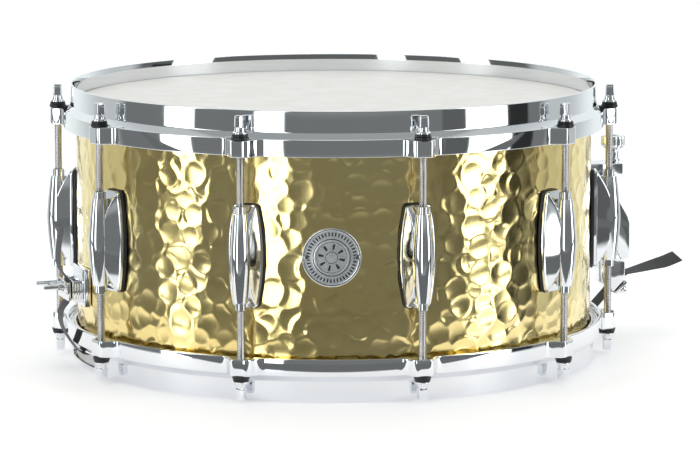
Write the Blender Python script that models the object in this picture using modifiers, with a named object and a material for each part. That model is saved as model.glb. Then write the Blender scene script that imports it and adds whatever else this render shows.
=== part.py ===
# Snare drum, 14 x 6.5 inch, hammered brass shell with ten double-ended lugs and die-cast hoops.
# Frame: metres, +Z up, origin on the drum's axis in the plane of the bottom rim, -Y is the front.
# An azimuth of 0 degrees is the front (the badge) and grows towards +X.
# Pieces around the drum are drawn at azimuth 0, where x is tangential and y = -radius,
# and are then turned to their own azimuth.

from math import asin, cos, pi, radians, sin, sqrt

import bmesh
import bpy
from mathutils import Matrix, Vector

mm = 0.001

# Shell
shell_diameter = 355.6 * mm
shell_depth = 165.1 * mm
shell_wall = 1.2 * mm

# Gap between pieces that touch, and how far a cutter runs past what it cuts
seat_gap = 0.3 * mm
overrun = 5.0 * mm

# Heads: a film that turns down over the bearing edge into an aluminium flesh hoop
film_thickness = 0.35 * mm
skirt_length = 11.0 * mm
flesh_hoop_wall = 5.0 * mm
flesh_hoop_height = 6.6 * mm

# Die-cast hoops
hoop_stand = 12.65 * mm
collar_wall = 2.1 * mm
shoulder_drop = 4.3 * mm
shoulder_offset = 4.6 * mm
shoulder_start = 1.3 * mm
collar_taper = 0.4 * mm
flange_height = 11.2 * mm
flange_wall = 2.1 * mm
hoop_roof = 5.1 * mm
rim_round = 0.7 * mm
ear_reach = 5.0 * mm
ear_half_width = 8.0 * mm
ear_flare = 8.5 * mm
ear_inset = 0.15 * mm

# Tension rods
lug_count = 10
rod_radius = 2.5 * mm
rod_standoff = 12.5 * mm
rod_end_rise = 13.25 * mm
washer_rim = 2.5 * mm
washer_height = 3.6 * mm
dome_height = 4.5 * mm
rod_head_width = 6.35 * mm
rod_head_height = 7.7 * mm
rod_bore_gap = 0.45 * mm
rod_neck_ratio = 0.5
dome_base_ratio = 0.84
head_sink = 0.6 * mm

# Lugs and their gaskets
lug_half_height = 33.6 * mm
lug_half_width = 12.0 * mm
lug_end_half_width = 8.8 * mm
lug_corner = 3.0 * mm
lug_foot = 2.2 * mm
lug_nose_width_ratio = 0.36
lug_nose_height_ratio = 0.80
barrel_half_length = 29.3 * mm
barrel_lip = 1.1 * mm
barrel_swell = 2.4 * mm
barrel_depth_ratio = 1.2
ferrule_wall = 0.55 * mm
ferrule_length = 4.6 * mm
gasket_thickness = 1.5 * mm
gasket_margin = 0.7 * mm
lug_screw_spacing = 50.0 * mm
lug_screw_hole = 6.0 * mm

# Badge
badge_radius = 19.3 * mm
badge_thickness = 1.0 * mm
tack_offset = 16.4 * mm
tack_radius = 1.9 * mm
tack_height = 0.6 * mm

# Snare wires and straps
strand_count = 20
strand_pitch = 2.1 * mm
strand_radius = 0.9 * mm
wires_setback = 11.8 * mm
end_plate_length = 19.0 * mm
strand_seat_ratio = 0.4
end_plate_thickness = 1.0 * mm
strap_width = 16.0 * mm
strap_thickness = 0.6 * mm
gate_half_width = 30.0 * mm
gate_room_below = 5.0 * mm
gate_room_above = 3.1 * mm
gate_depth = 8.0 * mm

# Strap points as (outward, up) in mm: each free tail from its clamp, and the lead-in to the gate
strainer_tail = [(49.5, 17.2), (39.0, 13.6), (27.0, 11.0), (15.5, 8.6)]
strainer_grip = [6.5, 2.5, -2.5, -6.5]
strainer_grip_exit = (10.2, 0.5)
butt_tail = [(3.9, 36.0), (5.4, 24.0), (6.2, 12.0), (4.2, 5.5), (1.2, 2.0)]
butt_grip = [0.5, 5.0]
butt_loop = [(1.2, -2.0), (3.9, -5.4), (5.2, -11.0), (3.4, -19.0)]
under_hoop_outset = 2.2
strainer_under_hoop_rise = -0.6
butt_under_hoop_rise = 1.0
gate_lead = [(1.3, 2.0), (-0.4, 0.35), (-7.0, 0.0)]
strap_seat_ratio = 0.5
strap_point_spacing = 5.0 * mm

# Strainer (throw-off). Its base plate reaches from above the snare-side hoop to below the batter hoop;
# the heights of what it carries are from its foot
strainer_rise = 12.55 * mm
strainer_headroom = 26.95 * mm
base_half_width = 21.0 * mm
base_thickness = 4.6 * mm
rail_wall = 3.0 * mm
rail_depth = 13.0 * mm
rail_foot = 24.0 * mm
rail_length = 55.0 * mm
carriage_half_width = 10.8 * mm
carriage_depth = 13.0 * mm
carriage_foot = 19.0 * mm
carriage_length = 65.0 * mm
carriage_head_height = 8.0 * mm
carriage_head_inset = 0.5 * mm
carriage_head_reach = 3.6 * mm
carriage_drop = 4.0 * mm
pin_radius = 2.0 * mm
pin_rise = 69.0 * mm
pin_setout = 7.4 * mm
pin_end = 1.0 * mm
knob_radius = 8.6 * mm
knob_height = 9.5 * mm
knob_neck_height = 8.7 * mm
knob_neck_radius = 4.0 * mm
knob_flutes = 12
flute_radius = 1.1 * mm
flute_rise = 0.3 * mm
stem_radius = 2.2 * mm
stem_standoff = 24.8 * mm
stem_gap = 0.4 * mm
stem_grip = 8.0 * mm
stem_hole_depth = 10.5 * mm
clamp_half_width = 13.5 * mm
clamp_length = 12.0 * mm
clamp_plate_thickness = 2.5 * mm
clamp_block_rise = 14.0 * mm
clamp_drop = 17.5 * mm
clamp_setout = 1.0 * mm
clamp_heel = 4.2 * mm
clamp_heel_rise = 4.4 * mm
screw_sink = 1.2 * mm
clamp_screw_radius = 1.9 * mm
clamp_screw_offset = 10.7 * mm
clamp_screw_height = 4.6 * mm
lever_wall = 2.2 * mm
lever_clearance = 4.4 * mm
lever_finger_foot = 16.0 * mm
lever_finger_length = 26.0 * mm
lever_finger_wall = 2.2 * mm
lever_hub = 6.0 * mm
# The lever's outline around its pin, as (outward, up) in hubs: its upper end, then its heel
lever_top_shape = [(-0.9, 0.6), (-0.4, 1.0), (0.6, 1.0), (1.5, 0.0)]
lever_heel_shape = [(0.5, -3.6), (-0.9, -1.3)]

# Butt (the fixed end of the snares)
butt_rise = 14.55 * mm
butt_half_width = 16.0 * mm
butt_length = 26.0 * mm
butt_thickness = 4.0 * mm
butt_block_foot = 3.5 * mm
butt_block_height = 14.5 * mm
butt_plate_inset = 1.0 * mm
butt_screw_drop = 4.35 * mm
butt_block_depth = 7.2 * mm
butt_screw_length = 16.5 * mm

# Facets
drum_segments = 60
round_segments = 10
barrel_segments = 12
strand_sides = 4

# Derived radii and heights
shell_radius = shell_diameter / 2
total_height = shell_depth + 2 * hoop_stand
mid_height = total_height / 2
shell_bottom = hoop_stand
shell_top = shell_bottom + shell_depth
film_inner = shell_radius + seat_gap
film_outer = film_inner + film_thickness
film_top = shell_top + seat_gap + film_thickness
collar_inner = film_outer + 1.5 * seat_gap
collar_outer = collar_inner + collar_wall
shoulder_top = total_height - hoop_stand - shoulder_start
flange_top = shoulder_top - shoulder_drop
flange_bottom = flange_top - flange_height
flange_outer = collar_outer + collar_taper + shoulder_offset
flange_inner = flange_outer - flange_wall
roof_height = shoulder_top - hoop_roof
rod_circle = shell_radius + rod_standoff
ear_outer = rod_circle + ear_reach
gasket_inner = shell_radius + seat_gap
lug_back = gasket_inner + gasket_thickness + seat_gap
rod_hole_radius = rod_radius + rod_bore_gap
washer_radius = rod_radius + washer_rim
ferrule_radius = rod_hole_radius + ferrule_wall
barrel_end_radius = ferrule_radius + barrel_lip
strap_offset = strap_thickness / 2 + seat_gap
head_underside = total_height - film_top
strand_height = head_underside - seat_gap - strand_radius
end_plate_bottom = strand_height - end_plate_thickness / 2
strap_rest = end_plate_bottom - strap_offset
mount_face = shell_radius + seat_gap
base_face = mount_face + base_thickness
pin_standoff = base_face + pin_setout
carriage_back = base_face + seat_gap
carriage_front = carriage_back + carriage_depth
rail_inner = carriage_half_width + seat_gap
rail_outer = rail_inner + rail_wall
stem_circle = base_face + stem_standoff
lever_inner = rail_outer + seat_gap
lever_outer = lever_inner + lever_wall
lever_reach = stem_circle + stem_radius + lever_clearance
wires_half_length = shell_radius - wires_setback
gate_bottom = strap_rest - gate_room_below
gate_top = strap_rest + gate_room_above

# Heights of the strainer and the butt, up from the snare-side hoop's upper edge
lower_hoop_edge = total_height - flange_bottom
base_bottom = lower_hoop_edge + strainer_rise
base_top = flange_bottom - strainer_headroom
rail_bottom = base_bottom + rail_foot
rail_top = rail_bottom + rail_length
carriage_bottom = base_bottom + carriage_foot
carriage_top = carriage_bottom + carriage_length
pin_height = base_bottom + pin_rise
clamp_block_top = base_bottom + clamp_block_rise
clamp_centre_radius = stem_circle + clamp_setout
clamp_centre_height = clamp_block_top - clamp_drop
lever_finger_bottom = base_bottom + lever_finger_foot
lever_finger_top = lever_finger_bottom + lever_finger_length
butt_bottom = lower_hoop_edge + butt_rise
butt_top = butt_bottom + butt_length
butt_block_bottom = butt_bottom + butt_block_foot
butt_block_top = butt_block_bottom + butt_block_height

# Lugs sit evenly round the drum with the badge midway between two; so do the strainer and the butt
lug_pitch = 2 * pi / lug_count
lug_azimuths = [(i + 0.5) * lug_pitch for i in range(lug_count)]
strainer_azimuth = 3 * lug_pitch
butt_azimuth = strainer_azimuth - pi


def clear_scene():
    for item in list(bpy.data.objects):
        bpy.data.objects.remove(item)


def new_collection(name):
    made = bpy.data.collections.new(name)
    bpy.context.scene.collection.children.link(made)
    return made


clear_scene()
drum = new_collection("snare_drum")
guides = new_collection("cutters_and_guides")


def make_material(name, colour, roughness, metallic, alpha=1.0):
    made = bpy.data.materials.new(name)
    made.use_nodes = True
    shader = made.node_tree.nodes["Principled BSDF"]
    shader.inputs["Base Color"].default_value = (*colour, 1.0)
    shader.inputs["Roughness"].default_value = roughness
    shader.inputs["Metallic"].default_value = metallic
    shader.inputs["Alpha"].default_value = alpha
    return made


brass = make_material("hammered_brass", (0.66, 0.52, 0.24), 0.22, 1.0)
chrome = make_material("chrome", (0.80, 0.82, 0.84), 0.08, 1.0)
aluminium = make_material("aluminium", (0.72, 0.73, 0.74), 0.35, 1.0)
coated_film = make_material("coated_film", (0.88, 0.88, 0.85), 0.65, 0.0)
clear_film = make_material("clear_film", (0.85, 0.87, 0.88), 0.10, 0.0, 0.4)
black_rubber = make_material("black_rubber", (0.03, 0.03, 0.035), 0.6, 0.0)
snare_steel = make_material("snare_steel", (0.62, 0.63, 0.65), 0.25, 1.0)
black_ribbon = make_material("black_ribbon", (0.04, 0.04, 0.045), 0.8, 0.0)
brushed_nickel = make_material("brushed_nickel", (0.60, 0.61, 0.62), 0.35, 1.0)


def add_object(name, mesh, collection):
    made = bpy.data.objects.new(name, mesh)
    collection.objects.link(made)
    return made


def baked_mesh(item, name):
    """The item's mesh as its modifiers leave it, in the item's own axes."""
    bpy.context.view_layer.update()
    graph = bpy.context.evaluated_depsgraph_get()
    mesh = bpy.data.meshes.new_from_object(item.evaluated_get(graph), depsgraph=graph)
    mesh.name = name
    return mesh


def cylinder(name, radius, low, high, segments=round_segments):
    """An upright cylinder from height low to height high on the object's own Z axis."""
    shape = bmesh.new()
    bmesh.ops.create_cone(
        shape, cap_ends=True, segments=segments, radius1=radius, radius2=radius, depth=high - low
    )
    bmesh.ops.translate(shape, verts=shape.verts, vec=(0, 0, (low + high) / 2))
    mesh = bpy.data.meshes.new(name)
    shape.to_mesh(mesh)
    shape.free()
    return add_object(name, mesh, guides)


def block(name, low, high):
    """A box between two corners, in the object's own axes."""
    low, high = Vector(low), Vector(high)
    shape = bmesh.new()
    bmesh.ops.create_cube(shape, size=1.0)
    bmesh.ops.scale(shape, verts=shape.verts, vec=high - low)
    bmesh.ops.translate(shape, verts=shape.verts, vec=(low + high) / 2)
    mesh = bpy.data.meshes.new(name)
    shape.to_mesh(mesh)
    shape.free()
    return add_object(name, mesh, guides)


def radial_block(name, half_width, inner, outer, bottom, top):
    """A box at azimuth 0, given by its half width and its radii and heights."""
    return block(name, (-half_width, -outer, bottom), (half_width, -inner, top))


# Axes of a flat outline: drawn (along, up) and thickened across.
SIDE_VIEW = Matrix(((0, 0, -1, 0), (-1, 0, 0, 0), (0, 1, 0, 0), (0, 0, 0, 1)))
PLAN_VIEW = Matrix(((1, 0, 0, 0), (0, -1, 0, 0), (0, 0, -1, 0), (0, 0, 0, 1)))


def plate(name, outline, half_thickness, view, offset=0.0):
    """A flat outline thickened both ways. Side view: (radius, height). Plan view: (x, radius).
    The offset shifts it along its thickness."""
    flat = bpy.data.curves.new(name, "CURVE")
    flat.dimensions = "2D"
    flat.fill_mode = "BOTH"
    flat.extrude = half_thickness
    spline = flat.splines.new("POLY")
    spline.points.add(len(outline) - 1)
    for point, (along, up) in zip(spline.points, outline):
        point.co = (along, up, 0, 1)
    spline.use_cyclic_u = True
    drawn = add_object(name, flat, guides)
    mesh = baked_mesh(drawn, name)
    bpy.data.objects.remove(drawn)
    weld(mesh)
    mesh.transform(view @ Matrix.Translation((0, 0, offset)))
    return add_object(name, mesh, guides)


def weld(mesh):
    """Closes a converted mesh by joining its caps to its sides."""
    shape = bmesh.new()
    shape.from_mesh(mesh)
    bmesh.ops.remove_doubles(shape, verts=shape.verts, dist=1e-6)
    bmesh.ops.recalc_face_normals(shape, faces=shape.faces)
    shape.to_mesh(mesh)
    shape.free()


def turned(name, profile, segments, closed):
    """A profile of (radius, height) turned around Z; it runs down its outer side."""
    mesh = bpy.data.meshes.new(name)
    count = len(profile)
    edges = [(i, i + 1) for i in range(count - 1)]
    if closed:
        edges.append((count - 1, 0))
    mesh.from_pydata([(radius, 0, height) for radius, height in profile], edges, [])
    made = add_object(name, mesh, guides)
    screw = made.modifiers.new("turn", "SCREW")
    screw.steps = segments
    screw.render_steps = segments
    screw.use_merge_vertices = True
    screw.merge_threshold = 0.00001
    return made


def loft(name, rings):
    """A closed body through rings of equal point count, capped at both ends."""
    shape = bmesh.new()
    loops = [[shape.verts.new(point) for point in ring] for ring in rings]
    count = len(loops[0])
    for lower, upper in zip(loops, loops[1:]):
        for i in range(count):
            k = (i + 1) % count
            shape.faces.new((lower[i], lower[k], upper[k], upper[i]))
    shape.faces.new(loops[0])
    shape.faces.new(loops[-1])
    bmesh.ops.recalc_face_normals(shape, faces=shape.faces)
    mesh = bpy.data.meshes.new(name)
    shape.to_mesh(mesh)
    shape.free()
    return add_object(name, mesh, guides)


def joined(name, items):
    """One mesh of several bodies that stay apart, for use as a single cutter."""
    shape = bmesh.new()
    for item in items:
        mesh = baked_mesh(item, name + "_piece")
        mesh.transform(item.matrix_world)
        shape.from_mesh(mesh)
        bpy.data.objects.remove(item)
    mesh = bpy.data.meshes.new(name)
    shape.to_mesh(mesh)
    shape.free()
    return add_object(name, mesh, guides)


def combine(item, operation, tool):
    """Adds a Boolean of the tool to the item, and hides the tool."""
    step = item.modifiers.new(tool.name, "BOOLEAN")
    step.operation = operation
    step.solver = "EXACT"
    step.object = tool
    tool.hide_render = True
    tool.display_type = "WIRE"
    return item


def finish(item, name, material, azimuth=0.0):
    """Turns a shape into one of the drum's own pieces."""
    item.name = name
    guides.objects.unlink(item)
    drum.objects.link(item)
    item.rotation_euler.z = azimuth
    paint(item.data, material)
    return item


def paint(mesh, material):
    mesh.materials.clear()
    mesh.materials.append(material)
    if mesh.polygons:
        mesh.shade_smooth()
        mesh.set_sharp_from_angle(angle=radians(35))


def solid(item, name, material, azimuth=0.0, origin=(0, 0, 0)):
    """Bakes a shape into a plain mesh object whose own origin is the given point."""
    mesh = baked_mesh(item, name)
    bpy.data.objects.remove(item)
    mesh.transform(Matrix.Translation(-Vector(origin)))
    paint(mesh, material)
    made = add_object(name, mesh, drum)
    turn = Matrix.Rotation(azimuth, 4, "Z")
    made.location = turn @ Vector(origin)
    made.rotation_euler.z = azimuth
    return made


def flip_over(item):
    """Turns a batter-side piece end over end into its snare-side twin."""
    item.rotation_euler.x = pi
    item.location.z = total_height
    return item


def make_shell():
    outer = shell_radius
    inner = shell_radius - shell_wall
    profile = [(outer, shell_top), (outer, shell_bottom), (inner, shell_bottom), (inner, shell_top)]
    shell = turned("shell", profile, drum_segments, closed=True)
    drills = []
    for azimuth in lug_azimuths:
        for side in (-1, 1):
            height = mid_height + side * lug_screw_spacing / 2
            drill = cylinder("drill", lug_screw_hole / 2, outer - overrun, outer + overrun, 8)
            drill.matrix_world = (
                Matrix.Rotation(azimuth, 4, "Z")
                @ Matrix.Translation((0, 0, height))
                @ Matrix.Rotation(pi / 2, 4, "X")
            )
            drills.append(drill)
    combine(shell, "DIFFERENCE", joined("lug_screw_holes", drills))
    finish(shell, "shell", brass)


def make_heads():
    film = [
        (0, film_top),
        (film_outer - film_thickness, film_top),
        (film_outer, film_top - film_thickness),
        (film_outer, film_top - skirt_length),
        (film_inner, film_top - skirt_length),
        (film_inner, film_top - film_thickness),
        (0, film_top - film_thickness),
    ]
    ring_top = roof_height - seat_gap
    ring_inner = film_outer + seat_gap
    ring_outer = min(ring_inner + flesh_hoop_wall, flange_inner - seat_gap)
    ring = [
        (ring_outer, ring_top),
        (ring_outer, ring_top - flesh_hoop_height),
        (ring_inner, ring_top - flesh_hoop_height),
        (ring_inner, ring_top),
    ]
    finish(turned("film", film, drum_segments, closed=False), "batter_head", coated_film)
    finish(turned("ring", ring, drum_segments, closed=True), "batter_flesh_hoop", aluminium)
    flip_over(finish(turned("film", film, drum_segments, closed=False), "snare_side_head", clear_film))
    flip_over(finish(turned("ring", ring, drum_segments, closed=True), "snare_side_flesh_hoop", aluminium))


def ear_outline():
    """Half of a hoop ear seen from above, from its flat face round to the flange."""
    root = (flange_inner + flange_outer) / 2
    depth = ear_outer - root
    steps = 2
    side = []
    for i in range(steps + 1):
        angle = i * pi / 2 / steps
        side.append((ear_half_width + ear_flare * (1 - cos(angle)), ear_outer - depth * sin(angle)))
    return [(-x, radius) for x, radius in reversed(side)] + side


def make_hoop(name):
    profile = [
        (collar_outer - rim_round, total_height),
        (collar_outer, total_height - rim_round),
        (collar_outer + collar_taper, shoulder_top),
        (flange_outer, flange_top),
        (flange_outer, flange_bottom),
        (flange_inner, flange_bottom),
        (flange_inner, roof_height),
        (collar_inner, roof_height),
        (collar_inner, total_height),
    ]
    hoop = turned(name, profile, drum_segments, closed=True)
    ears, drills, seats = [], [], []
    low, high = flange_bottom + ear_inset, flange_top - ear_inset
    for azimuth in lug_azimuths:
        ear = plate("ear", ear_outline(), (high - low) / 2, PLAN_VIEW, -(high + low) / 2)
        ear.matrix_world = Matrix.Rotation(azimuth, 4, "Z")
        ears.append(ear)
        # The washer sits in a shallow round seat let into the shoulder.
        over_axis = Matrix.Rotation(azimuth, 4, "Z") @ Matrix.Translation((0, -rod_circle, 0))
        drill = cylinder("drill", rod_hole_radius, low - overrun, high + overrun)
        seat = cylinder("seat", washer_radius + seat_gap, flange_top, flange_top + washer_height)
        drill.matrix_world = over_axis
        seat.matrix_world = over_axis
        drills.append(drill)
        seats.append(seat)
    combine(hoop, "UNION", joined(name + "_ears", ears))
    combine(hoop, "DIFFERENCE", joined(name + "_rod_holes", drills))
    combine(hoop, "DIFFERENCE", joined(name + "_washer_seats", seats))
    return solid(hoop, name, chrome)


def make_hoops():
    make_hoop("batter_hoop")
    lower = flip_over(make_hoop("snare_side_hoop"))
    for name, azimuth in (("strainer_gate", strainer_azimuth), ("butt_gate", butt_azimuth)):
        gate = radial_block(
            name, gate_half_width, collar_inner - gate_depth, flange_outer + overrun, gate_bottom, gate_top
        )
        gate.matrix_world = Matrix.Rotation(azimuth, 4, "Z")
        combine(lower, "DIFFERENCE", gate)


def bowed_outline(half_height, half_width, end_half_width, corner, radius):
    """A tall outline with bowed long sides and rounded corners, at a given radius from the axis."""
    points = []
    side_steps = 4
    corner_steps = 2
    reach = half_height - corner
    for i in range(side_steps + 1):
        height = -reach + 2 * reach * i / side_steps
        bow = 1 - (height / reach) ** 2
        points.append((end_half_width + (half_width - end_half_width) * bow, height))
    for i in range(1, corner_steps + 1):
        angle = i * pi / 2 / corner_steps
        points.append((end_half_width - corner * (1 - cos(angle)), reach + corner * sin(angle)))
    right = points
    top_left = [(-x, height) for x, height in reversed(right[side_steps + 1 :])]
    left = [(-x, -height) for x, height in right[: side_steps + 1]]
    bottom_left = [(-x, -height) for x, height in right[side_steps + 1 :]]
    bottom_right = [(x, -height) for x, height in reversed(right[side_steps + 1 :])]
    outline = right + top_left + left + bottom_left + bottom_right
    return [(x, -radius, mid_height + height) for x, height in outline]


def barrel_profile():
    """The lug's barrel and its two ferrules, from the top down."""
    tip = barrel_half_length + ferrule_length
    profile = [(0, tip), (ferrule_radius, tip)]
    steps = 4
    profile.append((ferrule_radius, barrel_half_length))
    for i in range(steps + 1):
        height = barrel_half_length * (1 - 2 * i / steps)
        swell = barrel_swell * (1 - (height / barrel_half_length) ** 2)
        profile.append((barrel_end_radius + swell, height))
    profile.append((ferrule_radius, -barrel_half_length))
    profile.append((ferrule_radius, -tip))
    profile.append((0, -tip))
    return profile


def make_lugs():
    sections = [
        (lug_back - overrun, 1.0, 1.0),
        (lug_back + lug_foot, 1.0, 1.0),
        (rod_circle, lug_nose_width_ratio, lug_nose_height_ratio),
    ]
    rings = [
        bowed_outline(
            lug_half_height * tall,
            lug_half_width * wide,
            lug_end_half_width * wide,
            lug_corner * wide,
            radius,
        )
        for radius, wide, tall in sections
    ]
    body = loft("lug_body", rings)
    barrel = turned("lug_barrel", barrel_profile(), barrel_segments, closed=False)
    barrel.matrix_world = Matrix.Translation((0, -rod_circle, mid_height)) @ Matrix.Diagonal(
        (1, barrel_depth_ratio, 1, 1)
    )
    combine(body, "UNION", barrel)
    combine(body, "DIFFERENCE", cylinder("lug_seat", lug_back, 0, total_height, drum_segments))
    bore = cylinder("rod_bore", rod_hole_radius, 0, total_height)
    bore.location.y = -rod_circle
    combine(body, "DIFFERENCE", bore)

    gasket_ring = bowed_outline(
        lug_half_height + gasket_margin,
        lug_half_width + gasket_margin,
        lug_end_half_width + gasket_margin,
        lug_corner + gasket_margin,
        0,
    )
    near = [(x, -(shell_radius - overrun), z) for x, y, z in gasket_ring]
    far = [(x, -(lug_back + overrun), z) for x, y, z in gasket_ring]
    pad = loft("gasket_pad", [near, far])
    outside = cylinder("gasket_face", gasket_inner + gasket_thickness, 0, total_height, drum_segments)
    combine(pad, "INTERSECT", outside)
    combine(pad, "DIFFERENCE", cylinder("gasket_seat", gasket_inner, 0, total_height, drum_segments))

    lug_mesh = baked_mesh(body, "lug")
    gasket_mesh = baked_mesh(pad, "lug_gasket")
    paint(lug_mesh, chrome)
    paint(gasket_mesh, black_rubber)
    for number, azimuth in enumerate(lug_azimuths, 1):
        for stem, mesh in (("lug", lug_mesh), ("lug_gasket", gasket_mesh)):
            copy = add_object(f"{stem}_{number:02d}", mesh, drum)
            copy.rotation_euler.z = azimuth
    for guide in (body, pad):
        bpy.data.objects.remove(guide)


def make_rods():
    seat = flange_top + seat_gap
    head_bottom = seat + washer_height + dome_height
    end = mid_height + rod_end_rise
    neck = rod_head_width * rod_neck_ratio
    profile = [
        (0, head_bottom),
        (neck, head_bottom),
        (washer_radius * dome_base_ratio, seat + washer_height),
        (washer_radius, seat + washer_height),
        (washer_radius, seat),
        (rod_radius, seat),
        (rod_radius, end),
        (0, end),
    ]
    rod = turned("tension_rod", profile, round_segments, closed=False)
    half = rod_head_width / 2
    square = block(
        "rod_head", (-half, -half, head_bottom - head_sink), (half, half, head_bottom + rod_head_height)
    )
    combine(rod, "UNION", square)
    mesh = baked_mesh(rod, "tension_rod")
    paint(mesh, chrome)
    bpy.data.objects.remove(rod)
    for number, azimuth in enumerate(lug_azimuths, 1):
        place = (rod_circle * sin(azimuth), -rod_circle * cos(azimuth), 0)
        upper = add_object(f"batter_rod_{number:02d}", mesh, drum)
        upper.location = place
        upper.rotation_euler.z = azimuth
        lower = add_object(f"snare_side_rod_{number:02d}", mesh, drum)
        lower.location = place
        lower.rotation_euler.z = azimuth
        flip_over(lower)


def make_badge():
    centre = Matrix.Translation((0, 0, mid_height)) @ Matrix.Rotation(pi / 2, 4, "X")
    disc = cylinder("badge_disc", badge_radius, shell_radius - overrun, shell_radius + overrun, 40)
    disc.data.transform(centre)
    face_radius = mount_face + badge_thickness
    combine(disc, "INTERSECT", cylinder("badge_face", face_radius, 0, total_height, drum_segments))
    for side in (-1, 1):
        tack = cylinder("badge_tack", tack_radius, mount_face + seat_gap, face_radius + tack_height, 10)
        turn = asin(side * tack_offset / shell_radius)
        tack.data.transform(Matrix.Rotation(turn, 4, "Z") @ centre)
        combine(disc, "UNION", tack)
    combine(disc, "DIFFERENCE", cylinder("badge_seat", mount_face, 0, total_height, drum_segments))
    solid(disc, "badge", brushed_nickel)


def make_snare_wires():
    plates, strands = [], []
    half_width = strand_pitch * strand_count / 2
    for side in (-1, 1):
        near = side * (wires_half_length - end_plate_length)
        far = side * wires_half_length
        plates.append(
            block(
                "end_plate",
                (-half_width, min(near, far), end_plate_bottom),
                (half_width, max(near, far), end_plate_bottom + end_plate_thickness),
            )
        )
    reach = wires_half_length - end_plate_length * (1 - strand_seat_ratio)
    for i in range(strand_count):
        strand = cylinder("strand", strand_radius, -reach, reach, strand_sides)
        across = (i - (strand_count - 1) / 2) * strand_pitch
        strand.matrix_world = Matrix.Translation((across, 0, strand_height)) @ Matrix.Rotation(
            pi / 2, 4, "X"
        )
        strands.append(strand)
    wires = joined("snare_wire_plates", plates)
    combine(wires, "UNION", joined("snare_strands", strands))
    # The wires hinge at their butt end, which stays put when the strainer lets go.
    solid(wires, "snare_wires", snare_steel, strainer_azimuth, (0, wires_half_length, strand_height))


def ribbon(name, route, azimuth, material):
    """A flat strap along a route of (radius, height) points, thickened about its middle."""
    shape = bmesh.new()
    rows = []
    for radius, height in route:
        pair = [shape.verts.new((side * strap_width / 2, -radius, height)) for side in (-1, 1)]
        rows.append(pair)
    for (a, b), (c, d) in zip(rows, rows[1:]):
        shape.faces.new((a, b, d, c))
    mesh = bpy.data.meshes.new(name)
    shape.to_mesh(mesh)
    shape.free()
    strip = add_object(name, mesh, guides)
    thicken = strip.modifiers.new("thicken", "SOLIDIFY")
    thicken.thickness = strap_thickness
    thicken.offset = 0
    return solid(strip, name, material, azimuth)


def smooth_route(points, spacing):
    """Catmull-Rom curve through the route's own points, with a point about every spacing."""
    path = [Vector(point) for point in points]
    path = [2 * path[0] - path[1]] + path + [2 * path[-1] - path[-2]]
    out = []
    for a, b, c, d in zip(path, path[1:], path[2:], path[3:]):
        steps = max(1, round((c - b).length / spacing))
        for i in range(steps):
            t = i / steps
            point = 0.5 * (
                2 * b + (c - a) * t + (2 * a - 5 * b + 4 * c - d) * t**2 + (3 * b - a - 3 * c + d) * t**3
            )
            out.append(tuple(point))
    out.append(tuple(path[-2]))
    return out


def shifted(radius, height, offsets):
    """Points from a start, by offsets in mm."""
    return [(radius + out * mm, height + up * mm) for out, up in offsets]


def gate_run(rise):
    """The strap's way in under the lower hoop's shoulder, through its gate, to the wires' end plate."""
    under_hoop = shifted(flange_outer, total_height - flange_top, [(under_hoop_outset, rise)])
    lead = shifted(collar_inner, strap_rest, gate_lead)
    lead[0] = (lead[0][0] + collar_wall, lead[0][1])
    end = (wires_half_length - strap_seat_ratio * end_plate_length, strap_rest)
    return under_hoop + lead + [end]


def along_clamp(distance, side=0.0):
    """A point on the strainer's slanted clamp: distance up its strap, side away from the block."""
    slope = sqrt(0.5)
    return (
        clamp_centre_radius + slope * (distance + side),
        clamp_centre_height + slope * (distance - side),
    )


def make_strainer_strap():
    tail = shifted(clamp_centre_radius, clamp_centre_height, strainer_tail)
    leaving, aside = strainer_grip_exit
    held = [along_clamp(leaving * mm, aside * mm)]
    held += [along_clamp(distance * mm) for distance in strainer_grip]
    route = tail + held + gate_run(strainer_under_hoop_rise)
    ribbon("strainer_strap", smooth_route(route, strap_point_spacing), strainer_azimuth, black_ribbon)


def make_butt_strap():
    middle = mount_face + butt_thickness + butt_block_depth + strap_offset
    route = shifted(middle, butt_block_top, butt_tail)
    route += [(middle, butt_block_top - depth * mm) for depth in butt_grip]
    route += [(middle, butt_block_bottom + depth * mm) for depth in reversed(butt_grip)]
    route += shifted(middle, butt_block_bottom, butt_loop)
    route += gate_run(butt_under_hoop_rise)
    ribbon("butt_strap", smooth_route(route, strap_point_spacing), butt_azimuth, black_ribbon)


def side_pin(name, radius, reach, circle, height):
    """A cylinder along the tangential direction, through (circle, height)."""
    pin = cylinder(name, radius, -reach, reach)
    pin.data.transform(
        Matrix.Translation((0, -circle, height)) @ Matrix.Rotation(pi / 2, 4, "Y")
    )
    return pin


def make_strainer_base():
    base = radial_block(
        "strainer_base", base_half_width, shell_radius - overrun, base_face, base_bottom, base_top
    )
    for side in (-1, 1):
        low, high = sorted((side * rail_inner, side * rail_outer))
        rail = block(
            "rail", (low, -base_face - rail_depth, rail_bottom), (high, seat_gap - base_face, rail_top)
        )
        combine(base, "UNION", rail)
    pin_hole = side_pin("pin_hole", pin_radius + seat_gap, base_half_width, pin_standoff, pin_height)
    combine(base, "DIFFERENCE", pin_hole)
    combine(base, "DIFFERENCE", cylinder("base_seat", mount_face, 0, total_height, drum_segments))
    solid(base, "strainer_base", chrome, strainer_azimuth)


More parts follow.
